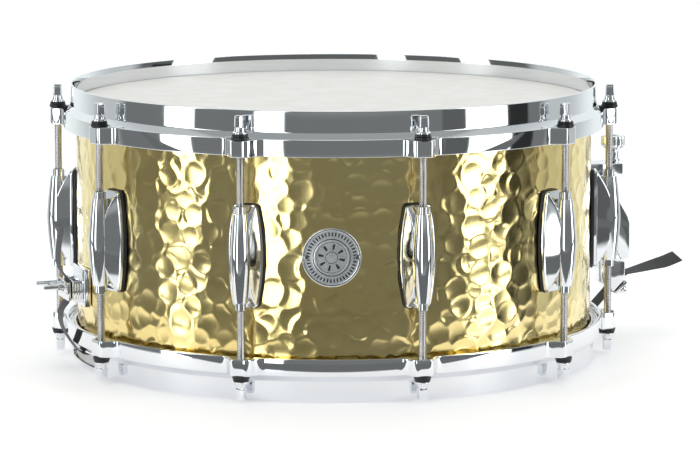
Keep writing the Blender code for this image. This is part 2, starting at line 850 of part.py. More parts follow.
def make_strainer_carriage():
    body = radial_block(
        "carriage", carriage_half_width, carriage_back, carriage_front, carriage_bottom, carriage_top
    )
    head = radial_block(
        "carriage_head",
        carriage_half_width - carriage_head_inset,
        carriage_front - carriage_head_reach,
        stem_circle + carriage_head_reach,
        carriage_top - carriage_head_height,
        carriage_top - seat_gap,
    )
    combine(body, "UNION", head)
    slot = radial_block(
        "pin_slot",
        carriage_half_width + overrun,
        pin_standoff - pin_radius - 2 * seat_gap,
        pin_standoff + pin_radius + 2 * seat_gap,
        pin_height - pin_radius - 2 * seat_gap,
        pin_height + pin_radius + carriage_drop + 2 * seat_gap,
    )
    combine(body, "DIFFERENCE", slot)
    bore = cylinder("stem_bore", stem_radius + stem_gap, carriage_bottom, total_height)
    bore.location.y = -stem_circle
    combine(body, "DIFFERENCE", bore)
    solid(body, "strainer_carriage", chrome, strainer_azimuth)


def make_strainer_knob():
    rise = carriage_top + seat_gap
    low = rise + knob_neck_height
    high = low + knob_height
    foot = clamp_block_top - stem_grip
    profile = [
        (0, high),
        (knob_radius, high),
        (knob_radius, low),
        (knob_neck_radius, low),
        (knob_neck_radius, rise),
        (stem_radius, rise),
        (stem_radius, foot),
        (0, foot),
    ]
    knob = turned("knob", profile, 2 * knob_flutes, closed=False)
    flutes = []
    for i in range(knob_flutes):
        flute = cylinder("flute", flute_radius, low - seat_gap, high + seat_gap, 4)
        angle = 2 * pi * i / knob_flutes
        reach = knob_radius + flute_rise
        flute.matrix_world = Matrix.Translation((reach * cos(angle), reach * sin(angle), 0))
        flutes.append(flute)
    combine(knob, "DIFFERENCE", joined("flutes", flutes))
    made = solid(knob, "strainer_knob", chrome, strainer_azimuth)
    made.location = Matrix.Rotation(strainer_azimuth, 4, "Z") @ Vector((0, -stem_circle, 0))


def make_strainer_pin():
    pin = side_pin("pin", pin_radius, lever_outer + pin_end, pin_standoff, pin_height)
    solid(pin, "strainer_pivot_pin", chrome, strainer_azimuth)


def make_strainer_lever():
    top, heel = (
        [(pin_standoff + out * lever_hub, pin_height + up * lever_hub) for out, up in shape]
        for shape in (lever_top_shape, lever_heel_shape)
    )
    grip = [
        (lever_reach, lever_finger_top + lever_wall),
        (lever_reach, lever_finger_bottom),
        (lever_reach - lever_hub, lever_finger_bottom),
    ]
    outline = top + grip + heel
    arms = []
    for side in (-1, 1):
        middle = -side * (lever_inner + lever_outer) / 2
        arms.append(plate("lever_arm", outline, lever_wall / 2, SIDE_VIEW, middle))
    lever = joined("lever_arms", arms)
    finger = radial_block(
        "lever_finger",
        (lever_inner + lever_outer) / 2,
        lever_reach - seat_gap - lever_finger_wall,
        lever_reach - seat_gap,
        lever_finger_bottom + seat_gap,
        lever_finger_top,
    )
    combine(lever, "UNION", finger)
    hole = side_pin("lever_hole", pin_radius + seat_gap, base_half_width, pin_standoff, pin_height)
    combine(lever, "DIFFERENCE", hole)
    solid(lever, "strainer_lever", chrome, strainer_azimuth, (0, -pin_standoff, pin_height))


def clamp_screw(reach, side):
    """A square-headed key screw standing out of the slanted clamp plate."""
    centre = along_clamp(0, strap_offset + clamp_plate_thickness)
    screw = cylinder("clamp_screw", clamp_screw_radius, -screw_sink, reach, 8)
    screw.data.transform(
        Matrix.Translation((side * clamp_screw_offset, -centre[0], centre[1]))
        @ Matrix.Rotation(radians(135), 4, "X")
    )
    return screw


def make_strainer_clamp():
    half = clamp_length / 2
    face = [along_clamp(half, -strap_offset), along_clamp(-half, -strap_offset)]
    inner = face[1][0] - clamp_heel
    outline = [
        face[1],
        face[0],
        (face[0][0], clamp_block_top),
        (inner, clamp_block_top),
        (inner, face[1][1] + clamp_heel_rise),
    ]
    jaw = plate("clamp_block", outline, clamp_half_width, SIDE_VIEW)
    hole = cylinder("stem_hole", stem_radius + stem_gap, clamp_block_top - stem_hole_depth, total_height)
    hole.location.y = -stem_circle
    combine(jaw, "DIFFERENCE", hole)
    solid(jaw, "strainer_clamp_block", chrome, strainer_azimuth)

    near, far = strap_offset, strap_offset + clamp_plate_thickness
    outline = [
        along_clamp(half, near),
        along_clamp(half, far),
        along_clamp(-half, far),
        along_clamp(-half, near),
    ]
    cover = plate("clamp_plate", outline, clamp_half_width, SIDE_VIEW)
    for side in (-1, 1):
        combine(cover, "UNION", clamp_screw(clamp_screw_height, side))
    solid(cover, "strainer_clamp_plate", chrome, strainer_azimuth)


def make_butt():
    face = mount_face + butt_thickness
    front = face + butt_block_depth
    base = radial_block("butt_base", butt_half_width, shell_radius - overrun, face, butt_bottom, butt_top)
    body = radial_block(
        "butt_block", clamp_half_width, face - seat_gap, front, butt_block_bottom, butt_block_top
    )
    combine(base, "UNION", body)
    combine(base, "DIFFERENCE", cylinder("butt_seat", mount_face, 0, total_height, drum_segments))
    solid(base, "butt_base", chrome, butt_azimuth)

    inner = front + 2 * strap_offset
    outer = inner + clamp_plate_thickness
    cover = radial_block(
        "butt_plate",
        clamp_half_width,
        inner,
        outer,
        butt_block_bottom + butt_plate_inset,
        butt_block_top - butt_plate_inset,
    )
    for side in (-1, 1):
        screw = cylinder("butt_screw", clamp_screw_radius, -screw_sink, butt_screw_length, 8)
        place = (side * clamp_screw_offset, -outer, butt_block_top - butt_screw_drop)
        screw.data.transform(Matrix.Translation(place) @ Matrix.Rotation(pi / 2, 4, "X"))
        combine(cover, "UNION", screw)
    solid(cover, "butt_clamp_plate", chrome, butt_azimuth)


def hide_guides():
    for guide in guides.objects:
        guide.hide_render = True
        guide.display_type = "WIRE"


make_shell()
make_heads()
make_hoops()
make_lugs()
make_rods()
make_badge()
make_snare_wires()
make_strainer_base()
make_strainer_carriage()
make_strainer_knob()
make_strainer_pin()
make_strainer_lever()
make_strainer_clamp()
make_strainer_strap()
make_butt()
make_butt_strap()
hide_guides()
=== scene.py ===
from math import asin, cos, hypot, pi, radians, sin, sqrt, tan

import bmesh
import bpy
import numpy as np
from mathutils import Matrix, Vector


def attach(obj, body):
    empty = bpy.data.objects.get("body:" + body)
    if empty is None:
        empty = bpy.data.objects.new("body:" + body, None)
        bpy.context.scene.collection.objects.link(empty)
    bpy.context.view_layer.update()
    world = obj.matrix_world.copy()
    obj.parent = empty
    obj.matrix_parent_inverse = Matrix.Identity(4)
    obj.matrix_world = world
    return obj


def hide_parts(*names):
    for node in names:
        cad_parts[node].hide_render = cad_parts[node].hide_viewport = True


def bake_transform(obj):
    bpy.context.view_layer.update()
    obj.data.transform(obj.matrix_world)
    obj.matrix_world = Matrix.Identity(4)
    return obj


# Snare drum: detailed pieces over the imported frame. Metres, +Z up, -Y is the front.
# An azimuth of 0 degrees is the front and grows towards +X.

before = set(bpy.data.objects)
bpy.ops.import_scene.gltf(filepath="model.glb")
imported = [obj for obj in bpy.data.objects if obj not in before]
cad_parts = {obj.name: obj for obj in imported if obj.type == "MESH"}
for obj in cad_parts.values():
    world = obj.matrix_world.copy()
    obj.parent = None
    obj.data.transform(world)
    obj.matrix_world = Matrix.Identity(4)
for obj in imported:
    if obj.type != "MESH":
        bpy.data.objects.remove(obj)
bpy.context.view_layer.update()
mm = 0.001

drumSizes = {
    "shellRadius": 177.8 * mm,
    "totalHeight": 190.4 * mm,
    "lugCount": 10,
    "rodCircle": 190.3 * mm,
    "strainerAzimuth": radians(108),
    "buttAzimuth": radians(-72),
}
shellRadius = drumSizes["shellRadius"]
totalHeight = drumSizes["totalHeight"]
midHeight = totalHeight / 2
rodCircle = drumSizes["rodCircle"]
lugAzimuths = [(i + 0.5) * 2 * pi / drumSizes["lugCount"] for i in range(drumSizes["lugCount"])]
print("frame loaded:", len(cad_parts), "nodes")


cameraSetup = {
    "place": (0.01868, -2.55677, 0.47237),
    "tilt": radians(81.368),
    "turn": radians(0.165),
    "lens": 191.77,
}


def makeCamera():
    lens = bpy.data.cameras.new("studioCamera")
    lens.lens = cameraSetup["lens"]
    lens.sensor_width = 36.0
    lens.clip_end = 50.0
    camera = bpy.data.objects.new("studioCamera", lens)
    bpy.context.scene.collection.objects.link(camera)
    camera.location = cameraSetup["place"]
    camera.rotation_euler = (cameraSetup["tilt"], 0.0, cameraSetup["turn"])
    bpy.context.scene.camera = camera


makeCamera()
bpy.context.scene.view_settings.view_transform = "Standard"


def addNode(tree, kind, **values):
    node = tree.nodes.new(kind)
    for key, value in values.items():
        setattr(node, key, value)
    return node


def feed(tree, socket, value):
    if isinstance(value, bpy.types.NodeSocket):
        tree.links.new(value, socket)
    else:
        socket.default_value = value


def mathNode(tree, operation, *values, clamp=False):
    node = addNode(tree, "ShaderNodeMath", operation=operation, use_clamp=clamp)
    for socket, value in zip(node.inputs, values):
        feed(tree, socket, value)
    return node.outputs[0]


def ramp(tree, value, low, high, start=0.0, end=1.0):
    # a smooth step from start at low to end at high
    node = addNode(tree, "ShaderNodeMapRange", interpolation_type="SMOOTHSTEP")
    feed(tree, node.inputs["Value"], value)
    node.inputs["From Min"].default_value = low
    node.inputs["From Max"].default_value = high
    node.inputs["To Min"].default_value = start
    node.inputs["To Max"].default_value = end
    return node.outputs["Result"]


def mixColour(tree, factor, first, second):
    node = addNode(tree, "ShaderNodeMix", data_type="RGBA")
    feed(tree, node.inputs["Factor"], factor)
    feed(tree, node.inputs[6], first)
    feed(tree, node.inputs[7], second)
    return node.outputs[2]


studio = {
    "room": 0.19,
    "floorward": 0.36,
    "wallGlow": 0.20,
    "upperRoom": 0.13,
    "ceiling": 0.38,
    "backdrop": 0.60,
    "farBackdrop": 0.40,
    "tint": (0.95, 1.0, 0.995, 1.0),
    "seenWhite": 1.02,
    # azimuth, half width, lowest and highest elevation in degrees, strength
    "softboxes": [(-69, 7.5, -40, 48, 3.3), (-27, 6.3, -40, 46, 3.3), (69.5, 10.5, -40, 48, 3.3)],
    "flags": [(86, 6.5, -30, 14, 0.03), (53, 5.5, -22, 16, 0.12)],
}


def backdropLevel(tree, azimuth):
    # the pale paper behind the drum, from both sides round to the back
    side = mathNode(tree, "ABSOLUTE", azimuth)
    near = ramp(tree, side, radians(94), radians(108), 0.0, studio["backdrop"])
    far = ramp(tree, side, radians(118), radians(150), 0.0, studio["farBackdrop"])
    return mathNode(tree, "ADD", near, far)


def makeWorld():
    world = bpy.data.worlds.new("studioWorld")
    bpy.context.scene.world = world
    world.use_nodes = True
    tree = world.node_tree
    tree.nodes.clear()
    output = addNode(tree, "ShaderNodeOutputWorld")
    lightPath = addNode(tree, "ShaderNodeLightPath")
    direction = addNode(tree, "ShaderNodeTexCoord")
    parts = addNode(tree, "ShaderNodeSeparateXYZ")
    tree.links.new(direction.outputs["Generated"], parts.inputs[0])
    x, y, z = parts.outputs
    azimuth = mathNode(tree, "ARCTAN2", x, mathNode(tree, "MULTIPLY", y, -1.0))
    height = mathNode(tree, "ARCSINE", z)

    def among(value, low, high, soft):
        rise = ramp(tree, value, low - soft, low + soft)
        fall = ramp(tree, value, high - soft, high + soft, 1.0, 0.0)
        return mathNode(tree, "MULTIPLY", rise, fall)

    def panel(turn, half, lowest, highest):
        across = among(azimuth, radians(turn - half), radians(turn + half), radians(0.9))
        return mathNode(tree, "MULTIPLY", across,
                        among(height, radians(lowest), radians(highest), radians(1.5)))

    down = ramp(tree, height, radians(-22), radians(-12), studio["floorward"], studio["room"])
    glow = mathNode(tree, "MULTIPLY", among(height, radians(4.8), radians(9), radians(1.5)),
                    studio["wallGlow"])
    down = mathNode(tree, "ADD", down, glow)
    up = ramp(tree, height, radians(8), radians(13), 0.0, studio["upperRoom"] - studio["room"])
    above = ramp(tree, height, radians(34), radians(62), 0.0, studio["ceiling"] - studio["upperRoom"])
    level = mathNode(tree, "ADD", mathNode(tree, "ADD", up, above), down)
    level = mathNode(tree, "MAXIMUM", level, backdropLevel(tree, azimuth))
    for turn, half, lowest, highest, strength in studio["flags"]:
        shade = panel(turn, half, lowest, highest)
        level = mathNode(tree, "ADD",
                         mathNode(tree, "MULTIPLY", level, mathNode(tree, "SUBTRACT", 1.0, shade)),
                         mathNode(tree, "MULTIPLY", shade, strength))
    for turn, half, lowest, highest, strength in studio["softboxes"]:
        level = mathNode(tree, "MAXIMUM", level,
                         mathNode(tree, "MULTIPLY", panel(turn, half, lowest, highest), strength))
    seen = addNode(tree, "ShaderNodeBackground")
    seen.inputs["Strength"].default_value = studio["seenWhite"]
    seen.inputs["Color"].default_value = (1.0, 1.0, 1.0, 1.0)
    around = addNode(tree, "ShaderNodeBackground")
    around.inputs["Color"].default_value = studio["tint"]
    tree.links.new(level, around.inputs["Strength"])
    mix = addNode(tree, "ShaderNodeMixShader")
    tree.links.new(lightPath.outputs["Is Camera Ray"], mix.inputs[0])
    tree.links.new(around.outputs[0], mix.inputs[1])
    tree.links.new(seen.outputs[0], mix.inputs[2])
    tree.links.new(mix.outputs[0], output.inputs[0])


def makeSoftbox(name, place, aim, size, power):
    light = bpy.data.lights.new(name, "AREA")
    light.shape = "RECTANGLE"
    light.size, light.size_y = size
    light.energy = power
    made = bpy.data.objects.new(name, light)
    bpy.context.scene.collection.objects.link(made)
    made.location = place
    made.rotation_euler = (Vector(aim) - Vector(place)).to_track_quat("-Z", "Y").to_euler()
    made.visible_glossy = False


makeWorld()
makeSoftbox("topSoftbox", (0.0, -0.4, 2.2), (0.0, 0.0, 0.1), (1.8, 1.8), 12.0)


floorSetup = {"reach": 9.0, "tableEdge": -0.277, "tableRadius": 0.36, "tableFade": 0.006,
              "stripEdge": -0.43, "stripLevel": 0.16}


def makeFloor():
    reach = floorSetup["reach"]
    mesh = bpy.data.meshes.new("floor")
    mesh.from_pydata([(-reach, -reach, 0), (reach, -reach, 0), (reach, reach, 0), (-reach, reach, 0)], [],
                     [(0, 1, 2, 3)])
    made = bpy.data.objects.new("floor", mesh)
    bpy.context.scene.collection.objects.link(made)
    material = bpy.data.materials.new("paleFloor")
    material.use_nodes = True
    tree = material.node_tree
    shader = tree.nodes["Principled BSDF"]
    output = tree.nodes["Material Output"]
    shader.inputs["Base Color"].default_value = (0.92, 0.90, 0.91, 1.0)
    shader.inputs["Roughness"].default_value = 0.5
    shader.inputs["Specular IOR Level"].default_value = 0.2
    shader.inputs["Emission Color"].default_value = (1.0, 1.0, 1.0, 1.0)
    shader.inputs["Emission Strength"].default_value = 0.30
    # polished metal sees a white table that ends in front of the drum, and the studio beyond it
    lightPath = addNode(tree, "ShaderNodeLightPath")
    spot = addNode(tree, "ShaderNodeTexCoord")
    parts = addNode(tree, "ShaderNodeSeparateXYZ")
    tree.links.new(spot.outputs["Object"], parts.inputs[0])
    edge, fade = floorSetup["tableEdge"], floorSetup["tableFade"]
    inFront = ramp(tree, parts.outputs[1], edge - fade, edge + fade, 1.0, 0.0)
    distance = addNode(tree, "ShaderNodeVectorMath", operation="LENGTH")
    tree.links.new(spot.outputs["Object"], distance.inputs[0])
    away = ramp(tree, distance.outputs["Value"], floorSetup["tableRadius"],
                floorSetup["tableRadius"] + 0.06)
    beyond = mathNode(tree, "MAXIMUM", inFront, away)
    strip = ramp(tree, parts.outputs[1], floorSetup["stripEdge"] - 0.01, floorSetup["stripEdge"] + 0.01)
    clear = addNode(tree, "ShaderNodeBsdfTransparent")
    grey = addNode(tree, "ShaderNodeEmission")
    grey.inputs["Color"].default_value = studio["tint"]
    grey.inputs["Strength"].default_value = floorSetup["stripLevel"]
    far = addNode(tree, "ShaderNodeMixShader")
    tree.links.new(mathNode(tree, "MULTIPLY", strip, inFront), far.inputs[0])
    tree.links.new(clear.outputs[0], far.inputs[1])
    tree.links.new(grey.outputs[0], far.inputs[2])
    mix = addNode(tree, "ShaderNodeMixShader")
    tree.links.new(mathNode(tree, "MULTIPLY", lightPath.outputs["Is Glossy Ray"], beyond), mix.inputs[0])
    tree.links.new(shader.outputs[0], mix.inputs[1])
    tree.links.new(far.outputs[0], mix.inputs[2])
    tree.links.new(mix.outputs[0], output.inputs["Surface"])
    mesh.materials.append(material)


makeFloor()
print("camera, light and floor ready")


def newGroup(name, inputs, outputs):
    group = bpy.data.node_groups.new(name, "ShaderNodeTree")
    for label, kind, default in inputs:
        socket = group.interface.new_socket(name=label, in_out="INPUT", socket_type=kind)
        if default is not None:
            socket.default_value = default
    for label, kind in outputs:
        group.interface.new_socket(name=label, in_out="OUTPUT", socket_type=kind)
    return group, addNode(group, "NodeGroupInput"), addNode(group, "NodeGroupOutput")


def noiseNode(tree, vector, scale, detail=3.0, roughness=0.5, distortion=0.0):
    node = addNode(tree, "ShaderNodeTexNoise")
    feed(tree, node.inputs["Vector"], vector)
    feed(tree, node.inputs["Scale"], scale)
    node.inputs["Detail"].default_value = detail
    node.inputs["Roughness"].default_value = roughness
    node.inputs["Distortion"].default_value = distortion
    return node.outputs[0]


def objectPlace(tree):
    return addNode(tree, "ShaderNodeTexCoord").outputs["Object"]


def buildHandling():
    # soft smudges and fine polishing scratches: a value from 0 to 1
    group, given, made = newGroup(
        "handlingMarks",
        [("Smudge Scale", "NodeSocketFloat", 30.0), ("Scratch Scale", "NodeSocketFloat", 900.0),
         ("Low", "NodeSocketFloat", 0.04), ("High", "NodeSocketFloat", 0.1)],
        [("Value", "NodeSocketFloat"), ("Mask", "NodeSocketFloat")],
    )
    place = objectPlace(group)
    smudge = noiseNode(group, place, given.outputs["Smudge Scale"], 5.0, 0.6, 0.4)
    stretch = addNode(group, "ShaderNodeVectorMath", operation="MULTIPLY")
    group.links.new(place, stretch.inputs[0])
    stretch.inputs[1].default_value = (1.0, 1.0, 0.08)
    scratch = noiseNode(group, stretch.outputs[0], given.outputs["Scratch Scale"], 2.0)
    mask = mathNode(group, "ADD", mathNode(group, "MULTIPLY", ramp(group, smudge, 0.4, 0.75), 0.7),
                    mathNode(group, "MULTIPLY", ramp(group, scratch, 0.55, 0.8), 0.3))
    span = mathNode(group, "SUBTRACT", given.outputs["High"], given.outputs["Low"])
    value = mathNode(group, "ADD", given.outputs["Low"], mathNode(group, "MULTIPLY", mask, span))
    group.links.new(value, made.inputs["Value"])
    group.links.new(mask, made.inputs["Mask"])
    return group


def buildGrain():
    # a fine pebbled height from 0 to 1
    group, given, made = newGroup(
        "fineGrain",
        [("Scale", "NodeSocketFloat", 1500.0), ("Softness", "NodeSocketFloat", 0.5)],
        [("Height", "NodeSocketFloat")],
    )
    place = objectPlace(group)
    fine = noiseNode(group, place, given.outputs["Scale"], 2.0, 0.6)
    broad = noiseNode(group, place, mathNode(group, "MULTIPLY", given.outputs["Scale"], 0.23), 2.0)
    mixed = addNode(group, "ShaderNodeMix", data_type="FLOAT")
    group.links.new(given.outputs["Softness"], mixed.inputs[0])
    group.links.new(fine, mixed.inputs[2])
    group.links.new(broad, mixed.inputs[3])
    group.links.new(mixed.outputs[0], made.inputs["Height"])
    return group


def buildTint():
    # two close colours that drift over the surface
    group, given, made = newGroup(
        "colourDrift",
        [("Scale", "NodeSocketFloat", 20.0), ("First", "NodeSocketColor", (0.5, 0.5, 0.5, 1)),
         ("Second", "NodeSocketColor", (0.6, 0.6, 0.6, 1))],
        [("Color", "NodeSocketColor")],
    )
    drift = ramp(group, noiseNode(group, objectPlace(group), given.outputs["Scale"], 4.0, 0.55), 0.3, 0.7)
    group.links.new(mixColour(group, drift, given.outputs["First"], given.outputs["Second"]),
                    made.inputs["Color"])
    return group


handlingMarks = buildHandling()
fineGrain = buildGrain()
colourDrift = buildTint()


def useGroup(tree, group, **values):
    node = addNode(tree, "ShaderNodeGroup", node_tree=group)
    for label, value in values.items():
        node.inputs[label.replace("_", " ")].default_value = value
    return node


def newMaterial(name, metallic=0.0, roughness=0.5):
    material = bpy.data.materials.new(name)
    material.use_nodes = True
    shader = material.node_tree.nodes["Principled BSDF"]
    shader.inputs["Metallic"].default_value = metallic
    shader.inputs["Roughness"].default_value = roughness
    return material, material.node_tree, shader


def bumpFrom(tree, shader, height, strength, distance):
    bump = addNode(tree, "ShaderNodeBump")
    bump.inputs["Strength"].default_value = strength
    bump.inputs["Distance"].default_value = distance
    tree.links.new(height, bump.inputs["Height"])
    tree.links.new(bump.outputs[0], shader.inputs["Normal"])


def metalMaterial(name, first, second, low, high, driftScale=14.0, smudgeScale=26.0, grain=None):
    material, tree, shader = newMaterial(name, 1.0)
    tint = useGroup(tree, colourDrift, Scale=driftScale, First=(*first, 1), Second=(*second, 1))
    tree.links.new(tint.outputs[0], shader.inputs["Base Color"])
    marks = useGroup(tree, handlingMarks, Smudge_Scale=smudgeScale, Low=low, High=high)
    tree.links.new(marks.outputs["Value"], shader.inputs["Roughness"])
    if grain:
        scale, strength, distance = grain
        pebble = useGroup(tree, fineGrain, Scale=scale)
        bumpFrom(tree, shader, pebble.outputs[0], strength, distance)
    return material


def plainMaterial(name, first, second, low, high, driftScale=30.0, grain=(1500.0, 0.3, 0.0001)):
    material = metalMaterial(name, first, second, low, high, driftScale, 40.0, grain)
    material.node_tree.nodes["Principled BSDF"].inputs["Metallic"].default_value = 0.0
    return material


chrome = metalMaterial("chromePlate", (0.80, 0.82, 0.85), (0.86, 0.87, 0.89), 0.035, 0.075)
castChrome = metalMaterial("castChrome", (0.78, 0.80, 0.83), (0.85, 0.86, 0.88), 0.05, 0.10,
                           grain=(420.0, 0.05, 0.0002))
threadSteel = metalMaterial("threadSteel", (0.50, 0.49, 0.50), (0.62, 0.60, 0.60), 0.2, 0.32)
brushedNickel = metalMaterial("brushedNickel", (0.58, 0.60, 0.62), (0.70, 0.71, 0.72), 0.22, 0.34)
aluminium = metalMaterial("aluminiumHoop", (0.72, 0.73, 0.74), (0.80, 0.80, 0.80), 0.25, 0.4,
                          grain=(800.0, 0.1, 0.0001))
wireSteel = metalMaterial("snareWire", (0.60, 0.61, 0.63), (0.72, 0.73, 0.74), 0.16, 0.3)
blackRubber = plainMaterial("blackRubber", (0.012, 0.012, 0.016), (0.022, 0.020, 0.028), 0.35, 0.55)
blackNylon = plainMaterial("blackNylon", (0.010, 0.010, 0.012), (0.020, 0.020, 0.022), 0.3, 0.45)
tackMetal = metalMaterial("tackMetal", (0.30, 0.30, 0.31), (0.40, 0.40, 0.40), 0.12, 0.24)


def brassMaterial():
    material, tree, shader = newMaterial("hammeredBrass", 1.0)
    tint = useGroup(tree, colourDrift, Scale=9.0, First=(0.92, 0.72, 0.285, 1),
                    Second=(0.97, 0.80, 0.37, 1))
    tree.links.new(tint.outputs[0], shader.inputs["Base Color"])
    marks = useGroup(tree, handlingMarks, Smudge_Scale=45.0, Low=0.13, High=0.22)
    tree.links.new(marks.outputs["Value"], shader.inputs["Roughness"])
    shader.inputs["Coat Weight"].default_value = 0.3
    shader.inputs["Coat Roughness"].default_value = 0.04
    grain = useGroup(tree, fineGrain, Scale=240.0, Softness=0.7)
    bumpFrom(tree, shader, grain.outputs[0], 0.10, 0.0003)
    return material


def coatedMaterial():
    material, tree, shader = newMaterial("coatedFilm", 0.0, 0.6)
    tint = useGroup(tree, colourDrift, Scale=60.0, First=(0.85, 0.81, 0.77, 1),
                    Second=(0.90, 0.87, 0.84, 1))
    tree.links.new(tint.outputs[0], shader.inputs["Base Color"])
    marks = useGroup(tree, handlingMarks, Smudge_Scale=12.0, Low=0.5, High=0.68)
    tree.links.new(marks.outputs["Value"], shader.inputs["Roughness"])
    grain = useGroup(tree, fineGrain, Scale=1400.0)
    bumpFrom(tree, shader, grain.outputs[0], 0.5, 0.0002)
    return material


def clearMaterial():
    material, tree, shader = newMaterial("clearFilm", 0.0, 0.12)
    tint = useGroup(tree, colourDrift, Scale=25.0, First=(0.80, 0.83, 0.86, 1),
                    Second=(0.88, 0.90, 0.92, 1))
    tree.links.new(tint.outputs[0], shader.inputs["Base Color"])
    marks = useGroup(tree, handlingMarks, Smudge_Scale=18.0, Low=0.28, High=0.45)
    tree.links.new(marks.outputs["Value"], shader.inputs["Alpha"])
    haze = useGroup(tree, handlingMarks, Smudge_Scale=30.0, Low=0.08, High=0.2)
    tree.links.new(haze.outputs["Value"], shader.inputs["Roughness"])
    return material


def ribbonMaterial():
    # ribs across the strap, with a finer twill between them
    material, tree, shader = newMaterial("blackRibbon", 0.0, 0.75)
    place = addNode(tree, "ShaderNodeUVMap", uv_map="strapMap").outputs[0]
    parts = addNode(tree, "ShaderNodeSeparateXYZ")
    tree.links.new(place, parts.inputs[0])
    along, across = parts.outputs[0], parts.outputs[1]
    ribs = mathNode(tree, "ABSOLUTE",
                    mathNode(tree, "SINE", mathNode(tree, "MULTIPLY", along, pi * 1000 / 1.1)))
    threads = mathNode(tree, "SINE", mathNode(tree, "MULTIPLY", across, pi * 2000 / 0.8))
    height = mathNode(tree, "ADD", ribs, mathNode(tree, "MULTIPLY", threads, 0.22))
    bumpFrom(tree, shader, height, 0.7, 0.0003)
    # painted shade: the base colour is darker down in the grooves between the ribs and lighter on their
    # crests, following the same height as the bump
    shade = ramp(tree, height, 0.0, 1.1)
    tree.links.new(mixColour(tree, shade, (0.006, 0.006, 0.007, 1), (0.036, 0.036, 0.040, 1)),
                   shader.inputs["Base Color"])
    tree.links.new(ramp(tree, height, 0.0, 1.2, 0.85, 0.62), shader.inputs["Roughness"])
    shader.inputs["Sheen Weight"].default_value = 0.25
    return material


def badgeMaterial(radius):
    # brushed face with dark etched rings and a ring of dots
    material, tree, shader = newMaterial("etchedBadge", 0.75, 0.3)
    parts = addNode(tree, "ShaderNodeSeparateXYZ")
    tree.links.new(objectPlace(tree), parts.inputs[0])
    x, z = parts.outputs[0], mathNode(tree, "SUBTRACT", parts.outputs[2], midHeight)
    reach = mathNode(tree, "SQRT",
                     mathNode(tree, "ADD", mathNode(tree, "MULTIPLY", x, x),
                              mathNode(tree, "MULTIPLY", z, z)))
    share = mathNode(tree, "DIVIDE", reach, radius)
    turn = mathNode(tree, "ARCTAN2", x, z)

    def ringAt(middle, half):
        off = mathNode(tree, "ABSOLUTE", mathNode(tree, "SUBTRACT", share, middle))
        return ramp(tree, off, half * 0.7, half * 1.3, 1.0, 0.0)

    dots = ramp(tree, mathNode(tree, "SINE", mathNode(tree, "MULTIPLY", turn, 44.0)), -0.1, 0.35)
    dark = mathNode(tree, "MULTIPLY", dots, ringAt(0.79, 0.065))
    for middle, half in ((0.945, 0.012), (0.62, 0.016), (0.52, 0.008), (0.20, 0.012)):
        dark = mathNode(tree, "MAXIMUM", dark, ringAt(middle, half))
    rays = ramp(tree, mathNode(tree, "SINE", mathNode(tree, "MULTIPLY", turn, 8.0)), 0.55, 0.75)
    dark = mathNode(tree, "MAXIMUM", dark, mathNode(tree, "MULTIPLY", rays, ringAt(0.36, 0.10)))
    tint = useGroup(tree, colourDrift, Scale=90.0, First=(0.66, 0.69, 0.71, 1),
                    Second=(0.78, 0.80, 0.81, 1))
    tree.links.new(mixColour(tree, dark, tint.outputs[0], (0.045, 0.05, 0.06, 1)),
                   shader.inputs["Base Color"])
    tree.links.new(ramp(tree, dark, 0.0, 1.0, 0.26, 0.5), shader.inputs["Roughness"])
    brushed = noiseNode(tree, mathVector(tree, objectPlace(tree), (9000.0, 9000.0, 60.0)), 1.0, 2.0)
    height = mathNode(tree, "SUBTRACT", mathNode(tree, "MULTIPLY", brushed, 0.2), dark)
    bumpFrom(tree, shader, height, 0.5, 0.0001)
    return material


def mathVector(tree, vector, factors):
    node = addNode(tree, "ShaderNodeVectorMath", operation="MULTIPLY")
    tree.links.new(vector, node.inputs[0])
    node.inputs[1].default_value = factors
    return node.outputs[0]


brass = brassMaterial()
coatedFilm = coatedMaterial()
clearFilm = clearMaterial()
blackRibbon = ribbonMaterial()
print("materials ready")


def rounded(corners, steps=4, closed=True):
    # (a, b, fillet) corners to a smooth outline
    out = []
    count = len(corners)
    for i, (a, b, fillet) in enumerate(corners):
        here = Vector((a, b))
        if fillet <= 0 or (not closed and i in (0, count - 1)):
            out.append((a, b))
            continue
        before = Vector(corners[i - 1][:2]) - here
        after = Vector(corners[(i + 1) % count][:2]) - here
        angle = before.angle(after, pi)
        if angle > pi - 0.02:
            out.append((a, b))
            continue
        cut = min(fillet / tan(angle / 2), 0.48 * before.length, 0.48 * after.length)
        first, last = here + before.normalized() * cut, here + after.normalized() * cut
        for k in range(steps + 1):
            t = k / steps
            point = (1 - t) ** 2 * first + 2 * t * (1 - t) * here + t * t * last
            out.append((point.x, point.y))
    return out


def gridFaces(rows, columns, wrapRows=False, wrapColumns=False, offset=0):
    r = np.arange(rows if wrapRows else rows - 1)
    c = np.arange(columns if wrapColumns else columns - 1)
    rr, cc = np.meshgrid(r, c, indexing="ij")
    a = rr * columns + cc
    b = rr * columns + (cc + 1) % columns
    d = ((rr + 1) % rows) * columns + cc
    e = ((rr + 1) % rows) * columns + (cc + 1) % columns
    return (np.stack([a, b, e, d], axis=-1).reshape(-1, 4) + offset).tolist()


def meshOf(name, points, faces, sharp=40.0, weld=True):
    mesh = bpy.data.meshes.new(name)
    mesh.from_pydata([tuple(p) for p in points], [], faces)
    shape = bmesh.new()
    shape.from_mesh(mesh)
    if weld:
        bmesh.ops.remove_doubles(shape, verts=shape.verts, dist=2e-6)
    bmesh.ops.recalc_face_normals(shape, faces=shape.faces)
    shape.to_mesh(mesh)
    shape.free()
    mesh.shade_smooth()
    mesh.set_sharp_from_angle(angle=radians(sharp))
    return mesh


